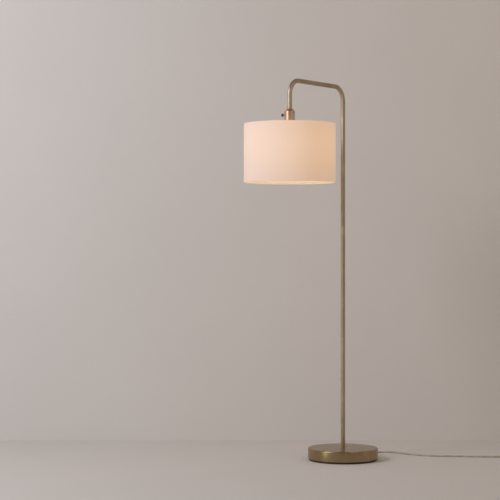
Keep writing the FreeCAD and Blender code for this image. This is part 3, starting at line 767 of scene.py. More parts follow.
@dataclass(frozen=True)
class Moulded(Finish):
    """Moulded plastic, glazed ceramic or lacquered wire."""

    light: Colour = (0.9, 0.9, 0.88)
    dark: Colour = (0.8, 0.8, 0.78)
    roughness: tuple[float, float] = (0.35, 0.5)
    coat: float = 0.0
    grain_depth: float = 0.00001
    glow: float = 0.0
    glow_colour: Colour = (1.0, 0.75, 0.5)

    def paint(self, paint: Painter, shader: bpy.types.Node, place: bpy.types.NodeSocket) -> None:
        """Flow marks in colour, spark texture in height, dust and rubbed edges, and painted bulb light where
        glow is set.

        Args:
            paint: Painter of the material.
            shader: Its Principled BSDF.
            place: Place on the object, in metres.
        """
        skin = EFFECTS.place(paint, "moulded_skin", Place=place)
        dust = EFFECTS.place(paint, "dust", Place=place, Amount=0.12)
        wear = EFFECTS.place(paint, "edge_wear", Place=place, Width=0.0006, Strength=1.2)
        tone = paint.blend(skin.outputs["Flow"], self.dark, self.light)
        polished = tuple(min(1.0, c * 1.15 + 0.03) for c in self.light)
        rubbed = paint.blend(wear.outputs["Mask"], tone, polished)
        paint.put(shader, {"Base Color": paint.blend(dust.outputs["Mask"], rubbed, PALE_DUST),
                           "Roughness": paint.remap(skin.outputs["Flow"], *self.roughness),
                           "Coat Weight": self.coat})
        # Painted light: where glow is set, emission paints the bulb's light falling on the part.
        if self.glow > 0:
            glow = EFFECTS.place(paint, "bulb_glow", Place=place)
            colour = paint.blend(glow.outputs["Glow"], (0.4, 0.2, 0.1), self.glow_colour)
            paint.put(shader, {"Emission Color": colour, "Emission Strength": self.glow})
        self.bump(paint, shader, skin.outputs["Height"], self.grain_depth, 0.5)


@dataclass(frozen=True)
class Linen(Finish):
    """Fine linen stretched on the drum, with the bulb's light coming through."""

    light: Colour = (0.51, 0.52, 0.57)
    dark: Colour = (0.45, 0.45, 0.49)
    threads: float = 1300.0
    bulb_height: float = 1.26
    drum_radius: float = 0.178
    lit: Colour = (1.0, 0.605, 0.32)
    dim: Colour = (0.24, 0.13, 0.07)
    strength: float = 0.59

    def paint(self, paint: Painter, shader: bpy.types.Node, place: bpy.types.NodeSocket) -> None:
        """Weave in height and colour, and a glow that is strongest beside the bulb.

        Args:
            paint: Painter of the material.
            shader: Its Principled BSDF.
            place: Place on the object, in metres.
        """
        cloth = paint.node("UVMap", uv_map="Surface").outputs[0]
        weave = EFFECTS.place(paint, "plain_weave", Cloth=cloth, Threads=self.threads)
        mottle = EFFECTS.place(paint, "patina", Place=place, Scale=14.0, Contrast=1.4)
        yarn = paint.blend(weave.outputs["Yarn"], self.dark, self.light)
        clouds = paint.math("MULTIPLY", mottle.outputs["Clouds"], 0.12)
        glow = EFFECTS.place(paint, "bulb_glow", Place=place, Bulb_Height=self.bulb_height,
                             Drum_Radius=self.drum_radius, Evenness=0.55)
        thin = paint.remap(weave.outputs["Yarn"], 0.95, 1.05)
        shine = paint.math("MULTIPLY", glow.outputs["Glow"], thin)
        shine = paint.math("MULTIPLY", shine, paint.remap(mottle.outputs["Clouds"], 0.98, 1.02), clamp=True)
        paint.put(shader, {"Base Color": paint.blend(clouds, yarn, self.dark),
                           "Roughness": paint.remap(weave.outputs["Yarn"], 0.8, 0.95),
                           "Sheen Weight": 0.25, "Sheen Roughness": 0.5, "Specular IOR Level": 0.25,
                           "Emission Color": paint.blend(shine, self.dim, self.lit),
                           "Emission Strength": self.strength})
        self.bump(paint, shader, weave.outputs["Height"], 0.00012, 0.5)


@dataclass(frozen=True)
class Film(Finish):
    """Matt plastic film that lines the drum, bright with the bulb's light."""

    lit: Colour = (1.0, 0.65, 0.41)
    dim: Colour = (0.5, 0.28, 0.16)
    strength: float = 0.19
    bulb_height: float = 1.26
    drum_radius: float = 0.177

    def paint(self, paint: Painter, shader: bpy.types.Node, place: bpy.types.NodeSocket) -> None:
        """Faint cloudiness in colour, fine matt grain and the glow.

        Args:
            paint: Painter of the material.
            shader: Its Principled BSDF.
            place: Place on the object, in metres.
        """
        skin = EFFECTS.place(paint, "moulded_skin", Place=place, Fineness=3000.0)
        glow = EFFECTS.place(paint, "bulb_glow", Place=place, Bulb_Height=self.bulb_height,
                             Drum_Radius=self.drum_radius, Evenness=0.35)
        flow = skin.outputs["Flow"]
        paint.put(shader, {"Base Color": paint.blend(flow, (0.84, 0.81, 0.76), (0.90, 0.88, 0.84)),
                           "Roughness": paint.remap(flow, 0.5, 0.65),
                           "Emission Color": paint.blend(glow.outputs["Glow"], self.dim, self.lit),
                           "Emission Strength": self.strength})
        self.bump(paint, shader, skin.outputs["Height"], 0.00001, 0.4)


@dataclass(frozen=True)
class Opal(Finish):
    """Opal envelope of a lit bulb."""

    strength: float = 4.5

    def paint(self, paint: Painter, shader: bpy.types.Node, place: bpy.types.NodeSocket) -> None:
        """Smooth glass that glows, with a faint cloudiness.

        Args:
            paint: Painter of the material.
            shader: Its Principled BSDF.
            place: Place on the object, in metres.
        """
        skin = EFFECTS.place(paint, "moulded_skin", Place=place, Fineness=900.0)
        flow = skin.outputs["Flow"]
        paint.put(shader, {"Base Color": paint.blend(flow, (0.93, 0.90, 0.85), (0.97, 0.95, 0.91)),
                           "Roughness": paint.remap(flow, 0.16, 0.26), "Coat Weight": 0.4,
                           "Emission Color": paint.blend(flow, (1.0, 0.76, 0.50), (1.0, 0.82, 0.58)),
                           "Emission Strength": self.strength})
        self.bump(paint, shader, skin.outputs["Height"], 0.00002, 0.2)


@dataclass(frozen=True)
class Felt(Finish):
    """Pressed felt."""

    def paint(self, paint: Painter, shader: bpy.types.Node, place: bpy.types.NodeSocket) -> None:
        """Matted fibres in colour and height.

        Args:
            paint: Painter of the material.
            shader: Its Principled BSDF.
            place: Place on the object, in metres.
        """
        fibres = paint.noise(place, 900.0, 6.0, Distortion=2.5)
        clumps = paint.noise(place, 60.0, 4.0)
        tone = paint.blend(fibres, (0.018, 0.016, 0.014), (0.055, 0.05, 0.045))
        paint.put(shader, {"Base Color": paint.blend(clumps, tone, (0.03, 0.027, 0.024)),
                           "Roughness": paint.remap(fibres, 0.85, 1.0), "Sheen Weight": 0.4})
        self.bump(paint, shader, fibres, 0.0004, 0.7)


@dataclass(frozen=True)
class Concrete(Finish):
    """Cast ballast, with fine sand and air holes."""

    def paint(self, paint: Painter, shader: bpy.types.Node, place: bpy.types.NodeSocket) -> None:
        """Sand in colour, holes in height.

        Args:
            paint: Painter of the material.
            shader: Its Principled BSDF.
            place: Place on the object, in metres.
        """
        sand = paint.noise(place, 700.0, 6.0)
        holes = paint.node("TexVoronoi", {"Vector": place, "Scale": 180.0})
        pit = paint.math("LESS_THAN", holes.outputs["Distance"], 0.2)
        tone = paint.blend(sand, (0.24, 0.23, 0.21), (0.40, 0.39, 0.37))
        paint.put(shader, {"Base Color": paint.blend(pit, tone, (0.12, 0.115, 0.11)),
                           "Roughness": paint.remap(sand, 0.8, 0.95)})
        height = paint.math("SUBTRACT", sand, paint.math("MULTIPLY", pit, 0.8))
        self.bump(paint, shader, height, 0.0005, 0.6)


@dataclass(frozen=True)
class ClearCord(Finish):
    """Champagne-coloured translucent flex, its two cores just showing as a slow twist."""

    light: Colour = (0.65, 0.56, 0.46)
    dark: Colour = (0.43, 0.35, 0.27)

    def paint(self, paint: Painter, shader: bpy.types.Node, place: bpy.types.NodeSocket) -> None:
        """Twisting bands in colour, a glossy skin and faint drag marks.

        Args:
            paint: Painter of the material.
            shader: Its Principled BSDF.
            place: Place on the object, in metres.
        """
        skin = EFFECTS.place(paint, "moulded_skin", Place=place, Fineness=1400.0)
        dust = EFFECTS.place(paint, "dust", Place=place, Amount=0.25)
        twist = paint.node("TexWave", {"Vector": place, "Scale": 9.0, "Distortion": 3.0, "Detail": 2.0},
                           bands_direction="DIAGONAL")
        cores = paint.blend(paint.remap(twist.outputs["Fac"], 0.1, 0.75), self.dark, self.light)
        tone = paint.blend(paint.math("MULTIPLY", skin.outputs["Flow"], 0.4), cores, self.light)
        paint.put(shader, {"Base Color": paint.blend(dust.outputs["Mask"], tone, (0.55, 0.51, 0.46)),
                           "Roughness": paint.remap(skin.outputs["Flow"], 0.18, 0.34), "Coat Weight": 0.35,
                           "Subsurface Weight": 0.15, "Subsurface Radius": (0.004, 0.003, 0.002)})
        self.bump(paint, shader, skin.outputs["Height"], 0.00003, 0.3)


BULB_HEIGHT = centre_of("bulb_envelope").z
SATIN = {"light": (0.66, 0.56, 0.42), "dark": (0.40, 0.33, 0.22), "worn": (0.76, 0.67, 0.52)}
TURNED = {"light": (0.475, 0.365, 0.21), "dark": (0.285, 0.20, 0.105), "worn": (0.68, 0.57, 0.40)}
FINISHES: dict[str, Finish] = {
    "antique_brass": Metal("antique_brass", **SATIN, roughness=(0.40, 0.54), across=Across.AROUND),
    "antique_brass_turned": Metal("antique_brass", **TURNED, roughness=(0.22, 0.34), across=Across.PROFILE,
                                  patina=1.1),
    # Painted light: this brass is tinted warmer and brighter than the rest to paint the glowing shade's warm
    # light on the cup.
    "antique_brass_warm_lit": Metal("antique_brass", light=(0.80, 0.57, 0.41), dark=(0.54, 0.36, 0.23),
                                worn=(0.8, 0.68, 0.52), roughness=(0.36, 0.5), across=Across.PROFILE,
                                patina=1.0),
    "plain_brass": Metal("plain_brass", light=(0.70, 0.52, 0.26), dark=(0.52, 0.36, 0.16),
                         worn=(0.85, 0.68, 0.4), roughness=(0.2, 0.34), patina=1.2, dusty=0.0),
    "plated_steel": Metal("plated_steel", light=(0.62, 0.61, 0.59), dark=(0.45, 0.44, 0.43),
                          worn=(0.75, 0.74, 0.72), roughness=(0.22, 0.36), patina=1.2, dusty=0.05),
    "dark_felt": Felt("dark_felt"),
    "black_tray": Moulded("black_tray", light=(0.050, 0.036, 0.026), dark=(0.030, 0.021, 0.015),
                          roughness=(0.5, 0.65)),
    "ballast_concrete": Concrete("ballast_concrete"),
    "cord_plastic": ClearCord("cord_plastic"),
    "tie_plastic": Moulded("tie_plastic", light=(0.80, 0.78, 0.74), dark=(0.70, 0.68, 0.64)),
    "white_ceramic": Moulded("white_ceramic", light=(0.86, 0.84, 0.80), dark=(0.80, 0.78, 0.74),
                             roughness=(0.12, 0.2), coat=0.6),
    "black_plastic": Moulded("black_plastic", light=(0.035, 0.028, 0.022), dark=(0.018, 0.014, 0.012),
                             roughness=(0.28, 0.42), coat=0.2),
    "black_glass": Moulded("black_glass", light=(0.02, 0.02, 0.025), dark=(0.01, 0.01, 0.012),
                           roughness=(0.05, 0.12), coat=0.8),
    "white_plastic": Moulded("white_plastic", light=(0.86, 0.84, 0.80), dark=(0.80, 0.77, 0.72),
                             roughness=(0.28, 0.4)),
    "circuit_board": Moulded("circuit_board", light=(0.84, 0.86, 0.80), dark=(0.76, 0.78, 0.72)),
    "opal_glass": Opal("opal_glass"),
    "shade_linen": Linen("shade_linen", bulb_height=BULB_HEIGHT),
    "shade_liner": Film("shade_liner", bulb_height=BULB_HEIGHT),
    # The white wire's glow is painted bulb light on the wire parts.
    "white_wire": Moulded("white_wire", light=(0.84, 0.81, 0.76), dark=(0.76, 0.73, 0.68),
                          roughness=(0.3, 0.42), glow=0.25),
}
MADE: dict[str, bpy.types.Material] = {}


def finish(name: str) -> bpy.types.Material:
    """The named finish's material, built the first time that it is asked for.

    Args:
        name: The finish's name.

    Returns:
        Its material.
    """
    if name not in MADE:
        MADE[name] = FINISHES[name].material()
    return MADE[name]


# ------------------------------------------------------------------ sub-assemblies
@dataclass
class SubAssembly:
    """Pieces that are built together, and the list of what was built."""

    built: list[bpy.types.Object] = field(default_factory=list)

    def dress(self, piece: bpy.types.Object, coat: str, body: str, stands_for: Sequence[str] = (),
              slot: str = "") -> bpy.types.Object:
        """Give a piece its finish, its slot and its body.

        Args:
            piece: The piece, in place.
            coat: Name of its finish.
            body: The CAD body that it rides on.
            stands_for: CAD nodes that it replaces.
            slot: Not used.

        Returns:
            The same piece.
        """
        piece.data.materials.clear()
        piece.data.materials.append(finish(coat))
        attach(piece, body)
        if stands_for:
            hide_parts(*stands_for)
        self.built.append(piece)
        return piece

    def report(self) -> None:
        """Log each piece that was built."""
        for piece in self.built:
            LOG.info("%s: %s", type(self).__name__, piece.name)


@dataclass
class FreeCord(SubAssembly):
    """Mains lead: strain relief, lead on the floor, coil with its tie, and plug."""

    diameter: float = 6.5 * MM
    length: float = 1.97
    relief_start: float = 146 * MM
    route: tuple[tuple[float, float, float], ...] = (
        (0.0, 0.172, 0.0155), (0.0006, 0.198, 0.0144), (0.0016, 0.226, 0.0072), (0.0036, 0.252, 0.0037),
        (0.010, 0.278, 0.0034), (0.027, 0.298, 0.0035), (0.056, 0.3055, 0.0034), (0.088, 0.3005, 0.0035),
        (0.128, 0.2925, 0.0034), (0.176, 0.2915, 0.0035), (0.226, 0.298, 0.0034), (0.272, 0.313, 0.0035),
        (0.308, 0.337, 0.0034), (0.346, 0.359, 0.0035), (0.388, 0.378, 0.0034), (0.430, 0.405, 0.0035),
        (0.466, 0.430, 0.0036), (0.500, 0.458, 0.0037), (0.534, 0.4824, 0.0040),
    )
    heading: tuple[float, float] = (0.812, 0.5835)
    turns: float = 5.25
    climb: float = 0.25
    points_per_turn: int = 16
    coil_radii: tuple[float, float] = (28.5 * MM, 44.75 * MM)
    tie: float = 0.8 * MM
    tie_width: float = 9 * MM
    tail: tuple[tuple[float, float, float], ...] = (
        (0.22, 0.0006, 0.01035), (0.5, 0.0016, 0.00878), (0.78, 0.0020, 0.0070), (1.0, 0.0020, 0.0070))
    tail_run: float = 62 * MM
    neck_length: float = 24 * MM
    plug_face: float = 60 * MM
    pin_spacing: float = 18.6 * MM
    pin_radius: float = 2.0 * MM
    pin_reach: float = 19 * MM
    relief_collar: float = 7.4 * MM
    relief_neck: float = 5.9 * MM
    relief_ribs: int = 5

    def __post_init__(self) -> None:
        """Work out the coil's centre and directions."""
        self.forward = Vector((*self.heading, 0.0)).normalized()
        self.aside = Vector((self.forward.y, -self.forward.x, 0.0))
        end = Vector(self.route[-1])
        self.centre = Vector((end.x, end.y, 0.0)) + self.aside * self.coil_radii[1]

    def coil_point(self, turn: float) -> Vector:
        """Point of the coil after so many turns: in along the lower layer, out along the upper.

        Args:
            turn: Turns since the lead joined the coil.

        Returns:
            The point.
        """
        inner, outer = self.coil_radii
        half = (self.turns - self.climb) / 2
        lower = self.tie + self.diameter / 2
        if turn <= half:
            radius, height = outer + (inner - outer) * turn / half, lower
        elif turn <= half + self.climb:
            share = (turn - half) / self.climb
            radius, height = inner, lower + self.diameter * share
        else:
            radius = inner + (outer - inner) * (turn - half - self.climb) / half
            height = lower + self.diameter
        angle = 2 * math.pi * turn
        level = self.forward * math.sin(angle) - self.aside * math.cos(angle)
        return self.centre + level * radius + Vector((0, 0, height))

    def tail_points(self) -> list[Vector]:
        """Points from the coil's last turn down to the plug.

        Returns:
            The points.
        """
        start = self.centre + self.forward * self.coil_radii[1]
        return [start + self.aside * (self.tail_run * run) + self.forward * out + Vector((0, 0, height))
                for run, out, height in self.tail]

    def make_lead(self) -> bpy.types.Object:
        """The whole lead as one smooth spline.

        Returns:
            The new object.
        """
        points = [Vector((0.0, self.relief_start, self.route[0][2]))]
        points += [Vector(p) for p in self.route]
        count = round(self.turns * self.points_per_turn)
        points += [self.coil_point(k / self.points_per_turn) for k in range(1, count + 1)]
        points += self.tail_points()
        points.append(points[-1] + self.aside * (self.neck_length * 0.7))
        curve = bpy.data.curves.new("mains_lead", "CURVE")
        curve.dimensions = "3D"
        spline = curve.splines.new("NURBS")
        spline.points.add(len(points) - 1)
        for slot, point in zip(spline.points, points):
            slot.co = (*point, 1.0)
        spline.order_u = 3
        spline.use_endpoint_u = True
        spline.resolution_u = 6
        curve.bevel_depth = self.diameter / 2
        curve.bevel_resolution = 5
        curve.use_fill_caps = True
        return link("mains_lead", curve)

    def make_relief(self) -> bpy.types.Object:
        """Ribbed, tapered rubber sleeve where the lead leaves the base.

        Returns:
            The new object.
        """
        low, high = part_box("cord_gland")
        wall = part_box("base_cover")[1].y
        tip = high.y
        bore = self.diameter / 2 - 0.1 * MM
        collar, neck = self.relief_collar, self.relief_neck
        outline: list[Corner] = [(bore, low.y), (collar, low.y, 0.4 * MM), (collar, wall - 1.9 * MM),
                                 (neck, wall - 1.9 * MM), (neck, wall + 0.1 * MM),
                                 (collar, wall + 0.1 * MM, 0.4 * MM), (7.2 * MM, wall + 3.4 * MM, 1.2 * MM)]
        first = wall + 4.2 * MM
        pitch = (tip - 3 * MM - first) / self.relief_ribs
        for i in range(self.relief_ribs):
            start = first + pitch * i
            wide = (6.5 - 1.5 * i / self.relief_ribs) * MM
            outline += [(wide - MM, start, 0.3 * MM), (wide - MM, start + 1.5 * MM, 0.3 * MM),
                        (wide, start + 2.0 * MM, 0.4 * MM), (wide, start + pitch - 0.4 * MM, 0.4 * MM)]
        outline += [(4.9 * MM, tip - 3 * MM), (4.5 * MM, tip, 0.8 * MM), (bore, tip)]
        relief = lathe("strain_relief", rounded(outline), segments=64)
        axis = Matrix.Translation((0, 0, centre_of("cord_gland").z))
        return move(relief, axis @ Matrix.Rotation(-math.pi / 2, 4, "X"))

    def make_tie(self) -> bpy.types.Object:
        """Flat band round the coil's turns, its end turned over.

        Returns:
            The new object.
        """
        low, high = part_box("cord_coil")
        band = self.coil_radii[1] - self.coil_radii[0] + self.diameter
        half_wide, half_high = band / 2 + self.tie / 2, (high.z - low.z) / 2 + self.tie / 2
        soft = 2.6 * MM
        corners = [(-half_wide, -half_high, soft), (half_wide, -half_high, soft),
                   (half_wide, half_high, soft), (-half_wide, half_high, soft)]
        loop = rounded(corners, steps=6)
        thick, wide = self.tie * 0.45, self.tie_width / 2
        section = rounded([(-thick, -wide, thick * 0.8), (thick, -wide, thick * 0.8),
                           (thick, wide, thick * 0.8), (-thick, wide, thick * 0.8)], steps=3)
        middle = self.centre - self.forward * (sum(self.coil_radii) / 2)
        middle.z = centre_of("cord_coil").z
        rows, uvs = [], []
        for k, (x, z) in enumerate(loop):
            outward = Vector((x / half_wide, z / half_high)).normalized()
            rows.append([middle + self.forward * (x + outward.x * s) + Vector((0, 0, z + outward.y * s))
                         + self.aside * w for s, w in section])
            uvs.append([(c * 0.002, k * 0.004) for c in range(len(section) + 1)])
        uvs.append(uvs[0])
        return as_object("lead_tie", grid_mesh("lead_tie", rows, uvs, wrap=True, close=True))

    def make_plug(self) -> bpy.types.Object:
        """Flat two-pin plug with finger grips and a tapered neck.

        Returns:
            The new object.
        """
        stations = ((0.0, 3.6, 3.6), (1.0, 4.3, 4.3), (14.0, 4.9, 4.7), (22.0, 5.6, 5.2), (24.5, 8.4, 6.4),
                    (28.0, 10.2, 6.9), (34.0, 12.2, 7.0), (40.0, 14.8, 7.0), (46.0, 17.2, 7.0),
                    (52.0, 17.5, 7.0), (59.0, 17.5, 7.0), (60.0, 16.9, 6.4))
        segments = 48
        rows, uvs = [], []
        for run, half_w, half_h in stations:
            squareness = 2.0 + 3.2 * min(1.0, max(0.0, (run - 18.0) / 20.0))
            row = []
            for k in range(segments):
                angle = 2 * math.pi * k / segments
                c, s = math.cos(angle), math.sin(angle)
                x = math.copysign(abs(c) ** (2 / squareness), c) * half_w * MM
                z = math.copysign(abs(s) ** (2 / squareness), s) * half_h * MM
                row.append(Vector((x, run * MM, z)))
            rows.append(row)
            uvs.append([(k * MM, run * MM) for k in range(segments + 1)])
        for end, at in ((rows[0], 0), (rows[-1], len(rows))):
            middle = sum(end, Vector()) / len(end)
            rows.insert(at, [middle.copy() for _ in end])
            uvs.insert(at, uvs[0 if at == 0 else -1])
        body = as_object("plug_moulding", grid_mesh("plug_moulding", rows, uvs, wrap=True, close=False))
        grips = [self.grip(run) for run in (36, 40, 44)]
        return move(joined("plug_moulding", [body] + grips, 40), self.plug_place())

    def plug_place(self) -> Matrix:
        """Where the plug's cord end is, with its pins pointing away from the coil.

        Returns:
            The plug's place and turn.
        """
        end = self.tail_points()[-1]
        turn = math.atan2(self.aside.y, self.aside.x) - math.pi / 2
        return Matrix.Translation(end) @ Matrix.Rotation(turn, 4, "Z")

    def grip(self, run: float) -> bpy.types.Object:
        """One raised finger rib across the plug's upper face.

        Args:
            run: How far the rib is from the plug's cord end, in mm.

        Returns:
            The new object.
        """
        half = (run - 24) * 0.55
        line = [Vector((half * (k / 8 - 1) * MM, run * MM, 6.8 * MM)) for k in range(17)]
        return sweep("plug_grip", line, circle(0.7 * MM, 12))

    def make_pins(self) -> bpy.types.Object:
        """Two round pins with insulated roots and rounded tips.

        Returns:
            The new object.
        """
        spacing, radius, reach = self.pin_spacing, self.pin_radius, self.pin_reach
        pins = []
        for side in (-1, 1):
            outline = rounded([(0.0, 0.0), (radius, 0.0), (radius, reach, 1.2 * MM), (0.0, reach)])
            turned = Matrix.Rotation(-math.pi / 2, 4, "X")
            place = Matrix.Translation((side * spacing / 2, self.plug_face, 0)) @ turned
            pins.append(move(lathe("plug_pin", outline, segments=32), place))
        return move(joined("plug_pin_pair", pins, 40), self.plug_place())

    def make(self) -> None:
        lead = self.dress(self.make_lead(), "cord_plastic", "root", ("mains_cord", "cord_coil", "cord_tail"))
        relief = self.dress(self.make_relief(), "cord_plastic", "root", ("cord_gland",))
        tie = self.dress(self.make_tie(), "tie_plastic", "root", ("cord_tie",))
        plug = self.dress(self.make_plug(), "cord_plastic", "root", ("plug_body",))
        pins = self.dress(self.make_pins(), "plated_steel", "root", ("plug_pins",))


@dataclass
class Base(SubAssembly):
    """Weighted base: turned cover on its tray, felt and hidden clamping parts."""

    wall: float = 1.5 * MM
    shoulder: float = 3.5 * MM

    def make(self) -> None:
        """Build the cover."""
        low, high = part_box("base_cover")
        radius = high.x
        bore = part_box("base_hollow_rod")[1].x
        inner = radius - self.wall
        outline = [(bore, high.z - self.wall), (bore, high.z), (radius * 0.5, high.z),
                   (radius, high.z, self.shoulder), (radius, low.z, 0.5 * MM), (inner, low.z, 0.5 * MM),
                   (inner, high.z - self.wall, self.shoulder - self.wall)]
        cover = lathe("base_shell", rounded(outline, steps=8), segments=224)
        self.dress(cover, "antique_brass_turned", "root", ("base_cover",))


@dataclass
class Pole(SubAssembly):
    """Three plated tubes, end to end."""

    wall: float = 1.2 * MM
    edge: float = 0.5 * MM
    braze: float = 0.9 * MM

    def make(self) -> None:
        """Build each tube with eased ends, so that its joint shows as a hairline."""
        for name in ("pole_lower", "pole_middle", "pole_upper"):
            low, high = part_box(name)
            radius = high.x
            outline = rounded([(radius - self.wall, low.z), (radius, low.z, self.edge),
                               (radius, low.z + 0.2), (radius, high.z - 0.1),
                               (radius, high.z, self.edge), (radius - self.wall, high.z)], steps=4)
            tube = lathe(name + "_tube", outline, segments=64)
            self.dress(tube, "antique_brass", "root", (name,))
        low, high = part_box("pole_lower")
        self.make_foot_collar(high.x, low.z)

    def make_foot_collar(self, radius: float, base_top: float) -> None:
        """Thin braze line where the pole stands on the cover.

        Args:
            radius: The pole's radius.
            base_top: Height of the cover's top.
        """
        leg = self.braze
        outline = rounded([(radius, base_top), (radius + leg, base_top), (radius, base_top + leg)])
        self.dress(lathe("pole_braze", outline, segments=64), "antique_brass_turned", "root")


@dataclass
class Arm(SubAssembly):
    """Bent tube that turns on the pole and carries the lampholder."""

    bend: float = 58 * MM
    wall: float = 1.2 * MM
    hole: float = 2.05 * MM

    def centre_line(self) -> list[Vector]:
        """Points up from the pole, over both bends and down the drop.

        Returns:
            The points.
        """
        low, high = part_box("arc_tube")
        radius = high.x
        level = high.z - radius
        front = low.y + radius
        drop_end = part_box("lampholder_cup")[1].z
        corners = [Vector((0, 0, low.z)), Vector((0, 0, level)), Vector((0, front, level)),
                   Vector((0, front, drop_end))]
        return bent_line(corners, [0, self.bend, self.bend, 0], 3 * MM)

    def make(self) -> None:
        """Build the tube, with a hole for the grub screw at its rear."""
        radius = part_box("arc_tube")[1].x
        tube = sweep("arm_tube", self.centre_line(), circle(radius, 64), circle(radius - self.wall, 64))
        deep, hole = 5 * MM, self.hole
        cutter = lathe("grub_hole", [(0, -deep), (hole, -deep), (hole, deep), (0, deep)], segments=32)
        height = centre_of("arm_grub_screw").z
        move(cutter, Matrix.Translation((0, radius, height)) @ Matrix.Rotation(math.pi / 2, 4, "X"))
        cut = tube.modifiers.new("hole", "BOOLEAN")
        cut.operation, cut.object, cut.solver = "DIFFERENCE", cutter, "EXACT"
        settle(tube)
        bpy.data.objects.remove(cutter)
        self.dress(tube, "antique_brass", "arm", ("arc_tube",))


@dataclass
class Lampholder(SubAssembly):
    """Brass cup with a rotary switch, threaded sleeve and ring for the shade."""

    cup_wall: float = 1.0 * MM
    bush_bore: float = 5.05 * MM
    sleeve_bore: float = 17.6 * MM
    sleeve_lip: float = 15.2 * MM
    sleeve_radius: float = 19 * MM
    flange: float = 22.1 * MM
    thread_pitch: float = 3.0 * MM
    thread_ridges: int = 5
    ring_bore: float = 19.75 * MM
    ring_foot: float = 21.8 * MM
    ring_rim: float = 25 * MM
    ring_grips: int = 24
    key_half_thick: float = 1.7 * MM
    key_boss: float = 3.6 * MM

    def __post_init__(self) -> None:
        """Find the drop's axis."""
        self.axis = centre_of("lampholder_sleeve").xy

    def make(self) -> None:
        """Build the visible metalwork and the switch's key."""
        self.make_cup()
        self.make_sleeve()
        self.make_ring()
        self.make_key()

    def make_cup(self) -> None:
        """Spun cup: neck, round shoulder and straight side with a rolled rim."""
        low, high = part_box("lampholder_cup")
        radius, wall = high.x, self.cup_wall
        outline = [(self.bush_bore, high.z - wall), (self.bush_bore, high.z), (11.5 * MM, high.z, 1.5 * MM),
                   (radius, high.z - 9.5 * MM, 5 * MM), (radius, low.z + 3 * MM, 0.5 * MM),
                   (radius + 0.25 * MM, low.z + 2.4 * MM, 0.4 * MM), (radius + 0.25 * MM, low.z, 0.5 * MM),
                   (radius - wall, low.z), (radius - wall, high.z - 10.2 * MM, 4 * MM),
                   (11.2 * MM, high.z - wall, 1.0 * MM)]
        cup = lathe("holder_cup", rounded(outline, steps=7), self.axis, segments=128)
        # The cup's brass carries painted warm light from the glowing shade.
        self.dress(cup, "antique_brass_warm_lit", "arm", ("lampholder_cup",))

    def make_sleeve(self) -> None:
        """Threaded sleeve with a flange above the shade's hub."""
        low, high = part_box("lampholder_sleeve")
        core, lip, radius, flange = self.sleeve_bore, self.sleeve_lip, self.sleeve_radius, self.flange
        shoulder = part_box("shade_hub")[1].z + 0.4 * MM
        outline: list[Corner] = [(core, high.z), (core, low.z + 1.4 * MM), (lip, low.z + 1.4 * MM),
                                 (lip, low.z), (radius, low.z, 0.8 * MM)]
        for i in range(self.thread_ridges):
            z = low.z + self.thread_pitch * (i + 1)
            outline += [(radius, z), (radius + 0.7 * MM, z + 0.7 * MM, 0.2 * MM),
                        (radius + 0.7 * MM, z + 1.5 * MM, 0.2 * MM), (radius, z + 2.2 * MM)]
        outline += [(radius, shoulder), (flange, shoulder, 0.4 * MM), (flange, shoulder + 2.2 * MM, 0.4 * MM),
                    (radius, shoulder + 2.2 * MM), (radius, high.z)]
        sleeve = lathe("holder_sleeve", rounded(outline, steps=3), self.axis, segments=96)
        self.dress(sleeve, "antique_brass_turned", "arm", ("lampholder_sleeve",))

    def make_ring(self) -> None:
        """Ring nut with finger grooves."""
        low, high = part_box("shade_ring")
        bore, foot, rim = self.ring_bore, self.ring_foot, self.ring_rim

        def groove(angle: float, radius: float, height: float) -> float:
            """Scalloped rim, plain inside."""
            depth = max(0.0, (radius - 22.5 * MM)) / (2.5 * MM)
            return -0.7 * MM * depth * max(0.0, math.cos(angle * self.ring_grips)) ** 3

        outline = [(bore, low.z), (foot, low.z, 0.4 * MM), (rim, low.z + 5.5 * MM, 0.8 * MM),
                   (rim, high.z, 0.6 * MM), (bore, high.z)]
        ring = lathe("shade_ring_nut", rounded(outline, steps=4), self.axis, segments=192, scallop=groove)
        self.dress(ring, "antique_brass_turned", "arm", ("shade_ring",))

    def make_key(self) -> None:
        """Oval paddle with dished faces on a round boss."""
        low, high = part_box("switch_key")
        middle = (low + high) / 2
        half_long, half_tall, half_thick = (high.x - low.x) / 2, (high.z - low.z) / 2, self.key_half_thick
        rows, uvs = [], []
        rings, segments = 10, 48
        for face in (1, -1):
            order = range(rings + 1) if face == 1 else range(rings, -1, -1)
            for r in order:
                share = r / rings
                dish = 0.45 * MM * math.exp(-((share / 0.55) ** 2))
                edge = half_thick * (1 - max(0.0, (share - 0.8) / 0.2) ** 2 * 0.55)
                row = []
                for k in range(segments):
                    angle = 2 * math.pi * k / segments
                    row.append(middle + Vector((half_long * share * math.cos(angle), face * (edge - dish),
                                                half_tall * share * math.sin(angle))))
                rows.append(row)
                uvs.append([(k * MM, r * MM) for k in range(segments + 1)])
        paddle = as_object("key_paddle", grid_mesh("key_paddle", rows, uvs, wrap=True, close=False))
        wide, long = self.key_boss, 5 * MM
        boss_outline = rounded([(0, 0), (wide, 0, 0.5 * MM), (wide, long, 0.8 * MM), (0, long)])
        boss = lathe("key_boss", boss_outline, segments=40)
        move(boss, Matrix.Translation((high.x, middle.y, middle.z)) @ Matrix.Rotation(-math.pi / 2, 4, "Y"))
        self.dress(joined("key_handle", [paddle, boss], 45), "black_plastic", "switch", ("switch_key",))


